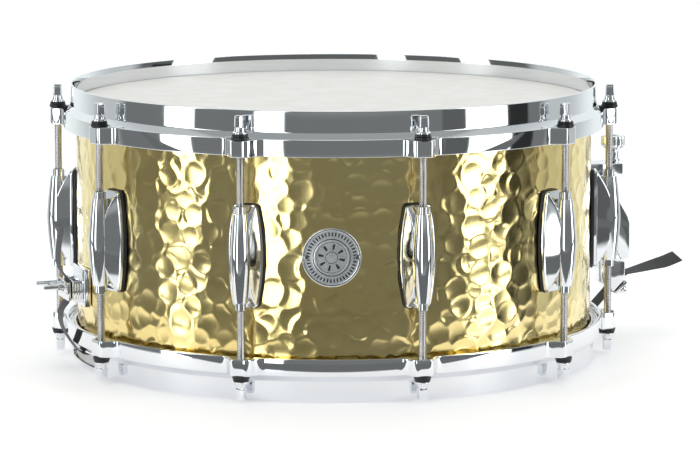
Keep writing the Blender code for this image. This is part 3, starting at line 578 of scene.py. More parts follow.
def lathe(name, profile, segments, closed=False, sharp=40.0, wobble=None):
    # (radius, height) turned round Z; closed joins the profile's end to its start
    turn = np.arange(segments) * 2 * pi / segments
    profile = np.array(profile, float)
    radius = np.repeat(profile[:, 0][:, None], segments, 1)
    height = np.repeat(profile[:, 1][:, None], segments, 1)
    if wobble is not None:
        radius, height = wobble(radius, height, np.repeat(turn[None], len(profile), 0))
    points = np.stack([radius * np.sin(turn), -radius * np.cos(turn), height], axis=-1).reshape(-1, 3)
    return meshOf(name, points, gridFaces(len(profile), segments, closed, True), sharp)


unmoved = Matrix.Identity(4)


def joinMeshes(name, parts, sharp=40.0):
    # several (mesh, matrix) in one mesh
    shape = bmesh.new()
    for mesh, matrix in parts:
        copy = mesh.copy()
        copy.transform(matrix)
        if matrix.is_negative:
            copy.flip_normals()
        shape.from_mesh(copy)
        bpy.data.meshes.remove(copy)
    mesh = bpy.data.meshes.new(name)
    shape.to_mesh(mesh)
    shape.free()
    mesh.shade_smooth()
    mesh.set_sharp_from_angle(angle=radians(sharp))
    return mesh


def boxMesh(name, low, high, bevel, segments=3):
    shape = bmesh.new()
    bmesh.ops.create_cube(shape, size=1.0)
    low, high = Vector(low), Vector(high)
    bmesh.ops.scale(shape, verts=shape.verts, vec=high - low)
    bmesh.ops.translate(shape, verts=shape.verts, vec=(low + high) / 2)
    bmesh.ops.bevel(shape, geom=shape.edges[:] + shape.verts[:], offset=bevel, segments=segments,
                    profile=0.5, affect="EDGES", clamp_overlap=True)
    mesh = bpy.data.meshes.new(name)
    shape.to_mesh(mesh)
    shape.free()
    mesh.shade_smooth()
    mesh.set_sharp_from_angle(angle=radians(50))
    return mesh


def softened(name, node, bevel, segments=3):
    # a CAD solid's shape with its flat faces merged and its edges rounded
    shape = bmesh.new()
    shape.from_mesh(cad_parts[node].data)
    bmesh.ops.remove_doubles(shape, verts=shape.verts, dist=1e-6)
    bmesh.ops.dissolve_limit(shape, angle_limit=radians(1.0), verts=shape.verts, edges=shape.edges)
    edges = [e for e in shape.edges if len(e.link_faces) == 2 and e.calc_face_angle(0.0) > radians(25)]
    bmesh.ops.bevel(shape, geom=edges, offset=bevel, segments=segments, profile=0.5, affect="EDGES",
                    clamp_overlap=True)
    mesh = bpy.data.meshes.new(name)
    shape.to_mesh(mesh)
    shape.free()
    mesh.shade_smooth()
    mesh.set_sharp_from_angle(angle=radians(40))
    return mesh


def place(name, mesh, material, body, slot, nodes=(), matrix=unmoved):
    made = bpy.data.objects.new(name, mesh)
    bpy.context.scene.collection.objects.link(made)
    made.matrix_world = matrix
    if not mesh.materials:
        mesh.materials.append(material)
    if body:
        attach(made, body)
    if nodes:
        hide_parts(*nodes)
    return made


def turned(azimuth, radius=0.0, height=0.0):
    # from a piece drawn at the front to its own azimuth
    return Matrix.Rotation(azimuth, 4, "Z") @ Matrix.Translation((0.0, -radius, height))


upsideDown = Matrix.Translation((0, 0, totalHeight)) @ Matrix.Rotation(pi, 4, "X")


def screwThread(name, radius, low, high, pitch, depth, around=12, perTurn=4, taper=0.6 * mm):
    # a helical thread on an upright rod
    rows = int((high - low) / pitch * perTurn) + 1
    turn = np.arange(around) * 2 * pi / around
    height = low + (high - low) * np.arange(rows) / (rows - 1)
    phase = height[:, None] / pitch * 2 * pi - turn[None]
    ridge = 0.5 + 0.5 * np.sin(phase)
    ends = np.clip(np.minimum(height - low, high - height) / taper, 0, 1)[:, None]
    reach = radius - depth * (1 - ridge * ends)
    points = np.stack([reach * np.sin(turn), -reach * np.cos(turn), np.repeat(height[:, None], around, 1)],
                      -1)
    faces = gridFaces(rows, around, False, True)
    faces.append(list(range(around)))
    faces.append(list(range((rows - 1) * around, rows * around)))
    return meshOf(name, points.reshape(-1, 3), faces, 75.0)


strapSetup = {
    "width": 16.0 * mm,
    "thickness": 0.6 * mm,
    "spacing": 1.5 * mm,
    # (radius, height) in mm, from the free tail through the clamp and the gate to the wires
    "strainerRoute": [
        (258.0, 55.7), (247.5, 52.1), (235.5, 49.5), (224.0, 47.1), (216.07, 45.36), (213.10, 43.10),
        (210.27, 40.27), (206.73, 36.73), (203.90, 33.90), (188.2, 17.65), (182.3, 11.7), (178.5, 10.05),
        (171.9, 9.7), (156.5, 9.7),
    ],
    "buttRoute": [
        (193.8, 98.0), (195.3, 86.0), (196.1, 74.0), (194.1, 67.5), (191.1, 64.0), (189.9, 61.5),
                  (189.9, 57.0),
        (189.9, 52.5), (189.9, 48.0), (191.1, 45.5), (193.8, 42.1), (195.1, 36.5), (193.3, 28.5),
                  (188.2, 19.25),
        (182.3, 11.7), (178.5, 10.05), (171.9, 9.7), (156.5, 9.7),
    ],
}


def smoothRoute(points, spacing):
    route = [Vector((r * mm, z * mm)) for r, z in points]
    route = [2 * route[0] - route[1]] + route + [2 * route[-1] - route[-2]]
    out = []
    for a, b, c, d in zip(route, route[1:], route[2:], route[3:]):
        steps = max(1, round((c - b).length / spacing))
        for i in range(steps):
            t = i / steps
            out.append(0.5 * (2 * b + (c - a) * t + (2 * a - 5 * b + 4 * c - d) * t**2
                              + (3 * b - a - 3 * c + d) * t**3))
    out.append(route[-2])
    return out


def makeStrap(name, points, azimuth, node, body, twist=0.0, twistFrom=0.0):
    route = smoothRoute(points, strapSetup["spacing"])
    half, thick = strapSetup["width"] / 2, strapSetup["thickness"] / 2
    columns = 12
    section = [(-half, 0.0)] + [(-half + 2 * half * i / columns, thick) for i in range(1,
            columns)] + [(half, 0.0)]
    section += [(half - 2 * half * i / columns, -thick) for i in range(1, columns)]
    normals, lengths, total = [], [], 0.0
    for i, here in enumerate(route):
        ahead, behind = route[min(i + 1, len(route) - 1)], route[max(i - 1, 0)]
        way = (ahead - behind).normalized()
        normals.append(Vector((way.y, -way.x)))
        total += (here - route[i - 1]).length if i else 0.0
        lengths.append(total)
    points3, uv = [], []
    for i, here in enumerate(route):
        for across, lift in section:
            # a faint roll at each edge, as woven ribbon has
            edge = abs(across) / half
            rise = lift * (1.0 - 0.35 * edge**6)
            roll = twist * min(1.0, max(0.0, (here.x - twistFrom) / (28 * mm)))
            spot = here + normals[i] * (rise + across * sin(roll))
            points3.append((across, -spot.x, spot.y))
            uv.append((lengths[i], across))
    count = len(section)
    faces = gridFaces(len(route), count, False, True)
    faces.append(list(range(count)))
    faces.append(list(range((len(route) - 1) * count, len(route) * count)))
    mesh = bpy.data.meshes.new(name)
    mesh.from_pydata(points3, [], faces)
    layer = mesh.uv_layers.new(name="strapMap")
    for loop in mesh.loops:
        layer.data[loop.index].uv = uv[loop.vertex_index]
    shape = bmesh.new()
    shape.from_mesh(mesh)
    bmesh.ops.recalc_face_normals(shape, faces=shape.faces)
    shape.to_mesh(mesh)
    shape.free()
    mesh.transform(Matrix.Rotation(azimuth, 4, "Z"))
    mesh.shade_smooth()
    mesh.set_sharp_from_angle(angle=radians(50))
    made = place(name, mesh, blackRibbon, body, "black_ribbon", [node])
    turn = Matrix.Rotation(azimuth, 4, "Z")
    path = [turn @ Vector((0, -spot.x, spot.y)) for spot in route]
    return made, path, total


strainerStrap, strainerPath, strainerLength = makeStrap(
    "wovenStrainerStrap", strapSetup["strainerRoute"], drumSizes["strainerAzimuth"], "strainer_strap", None,
    radians(17), 217 * mm)
buttStrap, buttPath, buttLength = makeStrap(
    "wovenButtStrap", strapSetup["buttRoute"], drumSizes["buttAzimuth"], "butt_strap", "drum_body")


def declareStraps():
    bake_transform(strainerStrap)
    print("strap lengths", round(strainerLength, 4), round(buttLength, 4))


declareStraps()


shellSetup = {
    "seed": 11,
    "wall": 1.2 * mm,
    "blowSpacing": 11.6 * mm,
    "blowRadius": (7.6 * mm, 11.6 * mm),
    "blowCurve": 76.0 * mm,
    "lift": 0.10 * mm,
    "deepest": 1.0 * mm,
    "columns": 1120,
    "rows": 168,
    "bottom": 12.65 * mm,
    "top": 177.75 * mm,
}


def hammered(columns, height):
    # each blow presses a round, shallow dish over the ones before it
    s = shellSetup
    random = np.random.default_rng(s["seed"])
    length = 2 * pi * shellRadius
    step, rise = length / columns, height[1] - height[0]
    field = np.zeros((len(height), columns))
    spacing = s["blowSpacing"]
    across, up = int(length / spacing), int((height[-1] - height[0]) / (spacing * 0.87)) + 3
    blows = [((i + 0.5 * (k % 2) + random.uniform(-0.6, 0.6)) * length / across,
              height[0] + (k - 1 + random.uniform(-0.6,
                      0.6)) * spacing * 0.87) for k in range(up) for i in range(across)]
    random.shuffle(blows)
    for x, z in blows:
        reach = random.uniform(*s["blowRadius"])
        tilt = random.uniform(-0.022, 0.022, 2)
        curve = s["blowCurve"] * random.uniform(0.75, 1.45)
        low, high = int((z - reach - height[0]) / rise), int((z + reach - height[0]) / rise) + 2
        rows = np.arange(max(low, 0), min(high, len(height)))
        cells = np.arange(int((x - reach) / step), int((x + reach) / step) + 2)
        if not len(rows):
            continue
        dx, dz = cells[None] * step - x, height[rows][:, None] - z
        away = np.sqrt(dx**2 + dz**2)
        window = np.ix_(rows, cells % columns)
        old = field[window]
        level = old[away < reach].mean() if (away < reach).any() else 0.0
        dish = level * 0.82 + s["lift"] + (away**2
                                           - 0.62 * reach**2) / (2 * curve) + tilt[0] * dx + tilt[1] * dz
        share = np.clip((reach - away) / (0.42 * reach), 0, 1)
        share = share * share * (3 - 2 * share)
        field[window] = old + (dish - old) * share
    return field - field.max(), field


def makeShell():
    s = shellSetup
    columns, rows = s["columns"], s["rows"]
    turn = np.arange(columns) * 2 * pi / columns
    height = np.linspace(s["bottom"], s["top"], rows)
    dent, raw = hammered(columns, height)
    dent = np.maximum(dent, -s["deepest"])
    print("hammer marks, mm:", round(float(dent.min()) * 1000, 2), round(float(dent.mean()) * 1000, 2))
    up = np.repeat(height[:, None], columns, 1)
    fade = np.clip(np.minimum(up - s["bottom"], s["top"] - up) / (5 * mm), 0, 1)
    outer = shellRadius + dent * fade
    innerRows = 5
    innerHeight = np.linspace(s["top"] - 0.3 * mm, s["bottom"] + 0.3 * mm, innerRows)
    inner = np.full((innerRows, columns), shellRadius - s["wall"] - 0.6 * mm)
    radius = np.concatenate([outer, inner])
    level = np.concatenate([up, np.repeat(innerHeight[:, None], columns, 1)])
    points = np.stack([radius * np.sin(turn), -radius * np.cos(turn), level], axis=-1).reshape(-1, 3)
    mesh = meshOf("hammeredShell", points, gridFaces(rows + innerRows, columns, True, True), 60.0,
                  weld=False)
    place("hammeredShell", mesh, brass, "drum_body", "hammered_brass", ["shell"])


makeShell()
print("shell hammered")


hoopSetup = {
    "collarInner": 178.9 * mm,
    "collarOuter": 181.0 * mm,
    "taper": 0.4 * mm,
    "shoulderTop": 176.45 * mm,
    "flangeTop": 172.15 * mm,
    "flangeBottom": 160.95 * mm,
    "flangeOuter": 186.0 * mm,
    "flangeInner": 183.9 * mm,
    "roof": 171.35 * mm,
    "lipHeight": 3.6 * mm,
    "lipFlare": 0.75 * mm,
    "earReach": 195.3 * mm,
    "earHalfWidth": 7.2 * mm,
    "earFlare": 8.5 * mm,
    "gateHalfWidth": 30.0 * mm,
    "gateBottom": 4.7 * mm,
    "gateTop": 12.8 * mm,
}


def earRadii(offset):
    # the flange's outer radius at an angle away from a rod
    root = (hoopSetup["flangeInner"] + hoopSetup["flangeOuter"]) / 2
    t = np.linspace(0, pi / 2, 60)
    x = hoopSetup["earHalfWidth"] + hoopSetup["earFlare"] * (1 - np.cos(t))
    y = hoopSetup["earReach"] - (hoopSetup["earReach"] - root) * np.sin(t)
    angle, radius = np.arctan2(x, y), np.hypot(x, y)
    away = np.abs(offset)
    flat = hoopSetup["earReach"] / np.cos(away)
    curved = np.interp(away, angle, radius, right=hoopSetup["flangeOuter"])
    return np.maximum(np.where(away < angle[0], flat, curved), hoopSetup["flangeOuter"])


def hoopProfile(reach):
    h = hoopSetup
    edge = 1.1 * mm if reach > h["flangeOuter"] + 0.3 * mm else 0.8 * mm
    corners = [
        (h["collarInner"] + h["lipFlare"], totalHeight, 0.35 * mm),
        (h["collarOuter"], totalHeight, 0.7 * mm),
        (h["collarOuter"] + h["taper"], h["shoulderTop"], 1.3 * mm),
        (h["flangeOuter"] - 0.6 * mm, h["flangeTop"] + 0.45 * mm, 0.9 * mm),
        (max(reach, h["flangeOuter"] + 0.02 * mm), h["flangeTop"], edge),
        (max(reach, h["flangeOuter"] + 0.02 * mm), h["flangeBottom"], edge),
        (h["flangeInner"], h["flangeBottom"], 0.5 * mm),
        (h["flangeInner"], h["roof"], 0.4 * mm),
        (h["collarInner"], h["roof"], 0.3 * mm),
        (h["collarInner"], totalHeight - h["lipHeight"], 0.3 * mm),
    ]
    return rounded(corners, 4)


def makeHoopMesh(name):
    sector = 2 * pi / drumSizes["lugCount"]
    near = np.linspace(-radians(5.6), radians(5.6), 44)
    far = np.linspace(radians(5.6), sector - radians(5.6), 30)[1:-1]
    local = np.concatenate([near, far])
    turns, reaches = [], []
    for azimuth in lugAzimuths:
        turns.append(azimuth + local)
        offset = np.where(local > sector / 2, local - sector, local)
        reach = earRadii(offset)
        for _ in range(6):
            wide = np.concatenate([reach[:1], reach, reach[-1:]])
            soft = (wide[:-2] + 2 * wide[1:-1] + wide[2:]) / 4
            reach[1:43] = soft[1:43]
        reaches.append(reach)
    turns, reaches = np.concatenate(turns), np.concatenate(reaches)
    rings = np.array([hoopProfile(reach) for reach in reaches])
    radius, height = rings[..., 0], rings[..., 1]
    points = np.stack([radius * np.sin(turns)[:, None], -radius * np.cos(turns)[:, None], height], axis=-1)
    return meshOf(name, points.reshape(-1, 3), gridFaces(len(turns), rings.shape[1], True, True), 34.0)


def carve(mesh, name, cutters):
    # an exact Boolean with plain boxes, baked
    item = bpy.data.objects.new(name, mesh)
    bpy.context.scene.collection.objects.link(item)
    tools = []
    for cutter, matrix in cutters:
        tool = bpy.data.objects.new(name + "Cutter", cutter)
        bpy.context.scene.collection.objects.link(tool)
        tool.matrix_world = matrix
        step = item.modifiers.new("gate", "BOOLEAN")
        step.operation = "DIFFERENCE"
        step.object = tool
        tools.append(tool)
    bpy.context.view_layer.update()
    graph = bpy.context.evaluated_depsgraph_get()
    baked = bpy.data.meshes.new_from_object(item.evaluated_get(graph), depsgraph=graph)
    for extra in [item] + tools:
        bpy.data.objects.remove(extra)
    baked.shade_smooth()
    baked.set_sharp_from_angle(angle=radians(34))
    return baked


def makeHoops():
    place("batterHoopCast", makeHoopMesh("batterHoopCast"), chrome, "drum_body", "chrome_plate",
          ["batter_hoop"])
    lower = makeHoopMesh("snareSideHoopCast")
    lower.transform(upsideDown)
    lower.flip_normals()
    shape = bmesh.new()
    shape.from_mesh(lower)
    bmesh.ops.recalc_face_normals(shape, faces=shape.faces)
    shape.to_mesh(lower)
    shape.free()
    cutters = []
    for azimuth in (drumSizes["strainerAzimuth"], drumSizes["buttAzimuth"]):
        gate = boxMesh("gate", (-hoopSetup["gateHalfWidth"], -189 * mm, hoopSetup["gateBottom"]),
                       (hoopSetup["gateHalfWidth"], -170 * mm, hoopSetup["gateTop"]), 1.6 * mm)
        cutters.append((gate, Matrix.Rotation(azimuth, 4, "Z")))
    lower = carve(lower, "snareSideHoopCast", cutters)
    place("snareSideHoopCast", lower, chrome, "drum_body", "chrome_plate", ["snare_side_hoop"])


makeHoops()
print("hoops cast")


headSetup = {"filmTop": 178.4 * mm, "filmOuter": 178.45 * mm, "thickness": 0.35 * mm, "skirt": 167.4 * mm,
             "fleshInner": 178.75 * mm, "fleshOuter": 183.6 * mm, "fleshTop": 171.05 * mm,
             "fleshHeight": 6.6 * mm}


def makeHeads():
    h = headSetup
    outer, thick = h["filmOuter"], h["thickness"]
    corners = [
        (0.0, h["filmTop"], 0), (60 * mm, h["filmTop"], 0), (120 * mm, h["filmTop"], 0),
               (168 * mm, h["filmTop"], 0),
        (outer - 0.2 * mm, h["filmTop"], 1.6 * mm), (outer, h["skirt"], 0), (outer - thick, h["skirt"], 0),
        (outer - thick - 0.2 * mm, h["filmTop"] - thick, 1.2 * mm), (0.0, h["filmTop"] - thick, 0),
    ]
    film = lathe("headFilm", rounded(corners, 5, closed=False), 240, sharp=60.0)
    place("batterHeadFilm", film.copy(), coatedFilm, "drum_body", "coated_film", ["batter_head"])
    place("snareSideHeadFilm", film.copy(), clearFilm, "drum_body", "clear_film", ["snare_side_head"],
          upsideDown)
    low = h["fleshTop"] - h["fleshHeight"]
    section = [
        (h["fleshOuter"], h["fleshTop"], 1.0 * mm), (h["fleshOuter"], low, 0.6 * mm),
               (h["fleshInner"] + 3.4 * mm, low, 0.4 * mm),
        (h["fleshInner"] + 3.4 * mm, low + 1.6 * mm, 0.4 * mm),
               (h["fleshInner"] + 1.4 * mm, low + 1.6 * mm, 0.4 * mm),
        (h["fleshInner"] + 1.4 * mm, low, 0.3 * mm), (h["fleshInner"], low, 0.3 * mm),
               (h["fleshInner"], h["fleshTop"], 0.8 * mm),
    ]
    ring = lathe("fleshHoop", rounded(section, 3), 180, closed=True)
    place("batterFleshRing", ring.copy(), aluminium, "drum_body", "aluminium_hoop", ["batter_flesh_hoop"])
    place("snareSideFleshRing", ring.copy(), aluminium, "drum_body", "aluminium_hoop",
          ["snare_side_flesh_hoop"], upsideDown)


makeHeads()
print("heads fitted")


lugSetup = {
    "back": 179.9 * mm,
    "halfHeight": 33.6 * mm,
    "halfWidth": 12.0 * mm,
    "endHalfWidth": 8.8 * mm,
    "corner": 3.2 * mm,
    "foot": 2.2 * mm,
    "crest": 193.0 * mm,
    "crestHalf": 3.0 * mm,
    "crestHalfWidth": 6.2 * mm,
    "barrelHalf": 29.3 * mm,
    "barrelEnd": 4.6 * mm,
    "barrelMid": 7.0 * mm,
    "barrelDepth": 1.2,
    "ferrule": 3.5 * mm,
    "ferruleLength": 4.6 * mm,
    "gasketInner": 178.1 * mm,
    "gasketOuter": 179.6 * mm,
    "gasketMargin": 0.8 * mm,
}


def bowedOutline(halfHeight, halfWidth, endHalfWidth, corner, sideSteps=28, cornerSteps=5):
    reach = halfHeight - corner
    right = []
    for i in range(sideSteps + 1):
        height = -reach + 2 * reach * i / sideSteps
        right.append((endHalfWidth + (halfWidth - endHalfWidth) * (1 - (height / reach) ** 2), height))
    for i in range(1, cornerSteps + 1):
        angle = i * pi / 2 / cornerSteps
        right.append((endHalfWidth - corner * (1 - cos(angle)), reach + corner * sin(angle)))
    top = [(endHalfWidth - corner) * (1 - 2 * i / 5) for i in range(1, 5)]
    out = list(right)
    out += [(x, halfHeight) for x in top]
    out += [(-x, z) for x, z in reversed(right[sideSteps + 1:])]
    out += [(-x, -z) for x, z in right[: sideSteps + 1]]
    out += [(-x, -z) for x, z in right[sideSteps + 1:]]
    out += [(-x, -halfHeight) for x in top]
    out += [(x, -z) for x, z in reversed(right[sideSteps + 1:])]
    return out


def loftLevels(name, levels, centre, sharp=30.0):
    # levels of (radius, bend, outline): bend 1 follows the shell's curve, 0 is flat
    rings = []
    for radius, bend, outline in levels:
        rings.append([
            (x, -(radius - bend * (shellRadius - sqrt(shellRadius**2 - x * x))), centre + z) for x,
                      z in outline
        ])
    count = len(rings[0])
    faces = gridFaces(len(rings), count, False, True)
    faces.append(list(range(count)))
    faces.append(list(range((len(rings) - 1) * count, len(rings) * count)))
    return meshOf(name, [p for ring in rings for p in ring], faces, sharp)


def makeLugMeshes():
    s = lugSetup
    top = s["back"] + s["foot"]

    def outline(shrink, cornerShrink=0.0):
        return bowedOutline(s["halfHeight"] - shrink, s["halfWidth"] - shrink, s["endHalfWidth"] - shrink,
                            max(s["corner"] - cornerShrink, 1.0 * mm), cornerSteps=3)

    levels = [(s["back"], 1.0, outline(0.25 * mm)), (s["back"] + 0.25 * mm, 1.0, outline(0.0)),
              (top - 0.7 * mm, 1.0, outline(0.0)), (top - 0.25 * mm, 1.0, outline(0.12 * mm)),
              (top, 1.0, outline(0.55 * mm))]
    steps = 16
    crest = s["crest"]
    for i in range(steps + 1):
        t = (i / steps) ** 1.4
        tall = s["crestHalf"] + (s["halfHeight"] - 1.1 * mm - s["crestHalf"]) * sqrt(1 - t)
        half = s["crestHalfWidth"] + (s["halfWidth"] - 1.3 * mm - s["crestHalfWidth"]) * (1 - t) ** 1.15
        end = s["crestHalfWidth"] - 0.5 * mm + (s["endHalfWidth"] - 1.2 * mm - s["crestHalfWidth"]
                                                + 0.5 * mm) * (1 - t) ** 1.3
        levels.append((top + 0.1 * mm + (crest - top) * t, 1.0 - t,
                       bowedOutline(tall, half, end, 0.7 * mm, cornerSteps=3)))
    body = loftLevels("lugWeb", levels, midHeight, 28.0)
    half, tip = s["barrelHalf"], s["barrelHalf"] + s["ferruleLength"]
    profile = [(0.0, tip - 3 * mm), (2.75 * mm, tip - 3 * mm), (2.85 * mm, tip - 0.3 * mm),
               (3.05 * mm, tip), (s["ferrule"] - 0.25 * mm, tip),
               (s["ferrule"], tip - 0.3 * mm), (s["ferrule"], half + 0.05 * mm),
               (s["barrelEnd"] - 0.5 * mm, half + 0.02 * mm)]
    for i in range(25):
        height = (half - 0.3 * mm) * (1 - 2 * i / 24)
        profile.append((s["barrelEnd"]
                        + (s["barrelMid"] - s["barrelEnd"]) * (1 - abs(height / half) ** 1.45), height))
    profile += [(r, -z) for r, z in reversed(profile[:8])]
    barrel = lathe("lugBarrel", profile, 48, sharp=35.0)
    shift = Matrix.Translation((0, -rodCircle, midHeight)) @ Matrix.Diagonal((1, s["barrelDepth"], 1, 1))
    lug = joinMeshes("lugCasting", [(body, unmoved), (barrel, shift)], 30.0)

    def rim(extra, corner=0.0):
        return bowedOutline(s["halfHeight"] + extra, s["halfWidth"] + extra, s["endHalfWidth"] + extra,
                            s["corner"] + extra)

    margin = s["gasketMargin"]
    pad = [(s["gasketInner"], 1.0, rim(margin)), (s["gasketOuter"] - 0.5 * mm, 1.0, rim(margin)),
           (s["gasketOuter"] - 0.15 * mm, 1.0, rim(margin - 0.15 * mm)),
           (s["gasketOuter"], 1.0, rim(margin - 0.5 * mm))]
    gasket = loftLevels("lugGasket", pad, midHeight, 40.0)
    return lug, gasket


def makeLugs():
    lug, gasket = makeLugMeshes()
    for number, azimuth in enumerate(lugAzimuths, 1):
        place(f"lugCasting{number:02d}", lug, castChrome, "drum_body", "chrome_plate",
              [f"lug_{number:02d}"], turned(azimuth))
        place(f"lugPad{number:02d}", gasket, blackRubber, "drum_body", "black_rubber",
              [f"lug_gasket_{number:02d}"], turned(azimuth))


makeLugs()
print("lugs placed")


rodSetup = {"radius": 2.6 * mm, "pitch": 1.06 * mm, "threadDepth": 0.32 * mm, "seat": 172.45 * mm,
            "end": 108.45 * mm,
            "washer": 5.7 * mm, "dome": 4.9 * mm, "washerHeight": 3.6 * mm, "domeHeight": 4.6 * mm,
            "square": 3.15 * mm, "squareTop": 188.2 * mm}


def makeRods():
    s = rodSetup
    washerTop = s["seat"] + s["washerHeight"]
    domeTop = washerTop + s["domeHeight"]
    rod = screwThread("rodThread", s["radius"], s["end"], s["seat"] - 9 * mm, s["pitch"], s["threadDepth"],
                      12, 4)
    shank = lathe("rodShank",
                  [(0, s["seat"] - 8.8 * mm), (s["radius"] - 0.1 * mm, s["seat"] - 8.8 * mm),
                   (s["radius"] - 0.1 * mm, s["seat"] + 1 * mm), (0, s["seat"] + 1 * mm)], 20)
    dome = lathe("rodDome", rounded([
        (0, washerTop - 0.6 * mm, 0), (s["dome"] - 0.5 * mm, washerTop - 0.6 * mm, 0.2 * mm),
                                     (s["dome"], washerTop + 0.3 * mm, 0.4 * mm),
        (s["dome"] - 0.1 * mm, washerTop + 1.1 * mm, 0.4 * mm),
                                     (s["dome"] - 0.9 * mm, washerTop + 1.5 * mm, 0.3 * mm),
        (s["dome"] - 1.5 * mm, washerTop + 3.0 * mm, 1.2 * mm), (3.3 * mm, domeTop - 0.5 * mm, 0.8 * mm),
                                     (3.0 * mm, domeTop + 0.4 * mm, 0.2 * mm),
        (0, domeTop + 0.4 * mm, 0)], 4, closed=False), 28)
    key = boxMesh("rodKey", (-s["square"], -s["square"], domeTop - 0.8 * mm),
                  (s["square"], s["square"], s["squareTop"]), 0.95 * mm, 4)
    for point in key.vertices:
        # the key head narrows a little towards its end
        share = 1.0 - 0.09 * max(0.0, (point.co.z - domeTop) / (s["squareTop"] - domeTop))
        point.co.x *= share
        point.co.y *= share
    steel = joinMeshes("tensionRod", [(mesh, unmoved) for mesh in (rod, shank, dome, key)])
    steel.materials.append(threadSteel)
    steel.materials.append(chrome)
    split = s["seat"] + 0.5 * mm
    for face in steel.polygons:
        face.material_index = 1 if face.center.z > split else 0
    seat, wide = s["seat"] - 0.2 * mm, s["washer"]
    washer = lathe("rodWasher", rounded([
        (s["radius"] + 0.1 * mm, washerTop, 0.1 * mm), (wide - 0.6 * mm, washerTop, 0.5 * mm),
                                         (wide - 0.35 * mm, seat + 2.4 * mm, 0.25 * mm),
        (wide - 0.8 * mm, seat + 2.15 * mm, 0.2 * mm), (wide, seat + 1.9 * mm, 0.6 * mm),
                                         (wide, seat + 0.2 * mm, 0.5 * mm),
        (wide - 0.5 * mm, seat, 0.2 * mm), (s["radius"] + 0.1 * mm, seat, 0.1 * mm)], 4), 32, closed=True)
    for number, azimuth in enumerate(lugAzimuths, 1):
        spot = Matrix.Translation((rodCircle * sin(azimuth), -rodCircle * cos(azimuth),
                                   0)) @ Matrix.Rotation(azimuth, 4, "Z")
        for stem, flip in (("batter", unmoved), ("snareSide", upsideDown)):
            node = f"batter_rod_{number:02d}" if stem == "batter" else f"snare_side_rod_{number:02d}"
            place(f"{stem}Rod{number:02d}", steel, chrome, node, "chrome_plate", [node], spot @ flip)
            place(f"{stem}Washer{number:02d}", washer, blackNylon, node, "black_rubber", (), spot @ flip)


makeRods()
print("rods placed")


badgeSetup = {"radius": 19.3 * mm, "face": 179.1 * mm, "seat": 178.1 * mm, "tackOffset": 16.4 * mm,
              "tackRadius": 1.9 * mm}


def makeBadge():
    s = badgeSetup
    rings, around = [], 96
    # (share of the radius, height over the seat): a rolled border, a groove and a flat face
    section = [(1.0, 0.0), (1.0, 0.55), (0.985, 0.9), (0.955, 1.0), (0.925, 0.9), (0.915, 0.72),
               (0.88, 0.7), (0.7, 0.7), (0.6, 0.7),
               (0.585, 0.8), (0.565, 0.8), (0.55, 0.7), (0.4, 0.72), (0.2, 0.74), (0.02, 0.75)]
    depth = s["face"] - s["seat"]
    for share, lift in section:
        ring = []
        for i in range(around):
            turn = 2 * pi * i / around
            x, z = s["radius"] * share * sin(turn), s["radius"] * share * cos(turn)
            ring.append((x, -(sqrt(s["seat"] ** 2 - x * x) + depth * lift), midHeight + z))
        rings.append(ring)
    faces = gridFaces(len(rings), around, False, True)
    faces.append(list(range(around)))
    faces.append(list(range((len(rings) - 1) * around, len(rings) * around)))
    mesh = meshOf("etchedBadge", [p for ring in rings for p in ring], faces, 50.0)
    place("etchedBadge", mesh, badgeMaterial(s["radius"]), "drum_body", "brushed_nickel", ["badge"])
    tack = lathe("badgeTack",
                 rounded([(0, 0, 0), (s["tackRadius"], 0, 0), (s["tackRadius"], 0.35 * mm, 0.3 * mm),
                          (s["tackRadius"] * 0.6, 0.75 * mm, 0.6 * mm), (0, 0.85 * mm, 0)], 4,
                         closed=False), 28)
    for number, side in enumerate((-1, 1), 1):
        turn = asin(side * s["tackOffset"] / shellRadius)
        spot = Matrix.Rotation(turn, 4,
                               "Z") @ Matrix.Translation((0, -s["seat"] - depth * 0.65,
                                       midHeight)) @ Matrix.Rotation(pi / 2, 4, "X")
        place(f"badgeTack{number}", tack, tackMetal, "drum_body", "brushed_nickel", (), spot)


makeBadge()
print("badge fixed")


wireSetup = {"halfLength": 166.0 * mm, "plateLength": 19.0 * mm, "plateBottom": 10.3 * mm,
             "plateThickness": 1.0 * mm,
             "strands": 20, "pitch": 2.1 * mm, "height": 10.8 * mm, "coilRadius": 0.72 * mm,
             "wireRadius": 0.2 * mm, "coilPitch": 1.25 * mm}


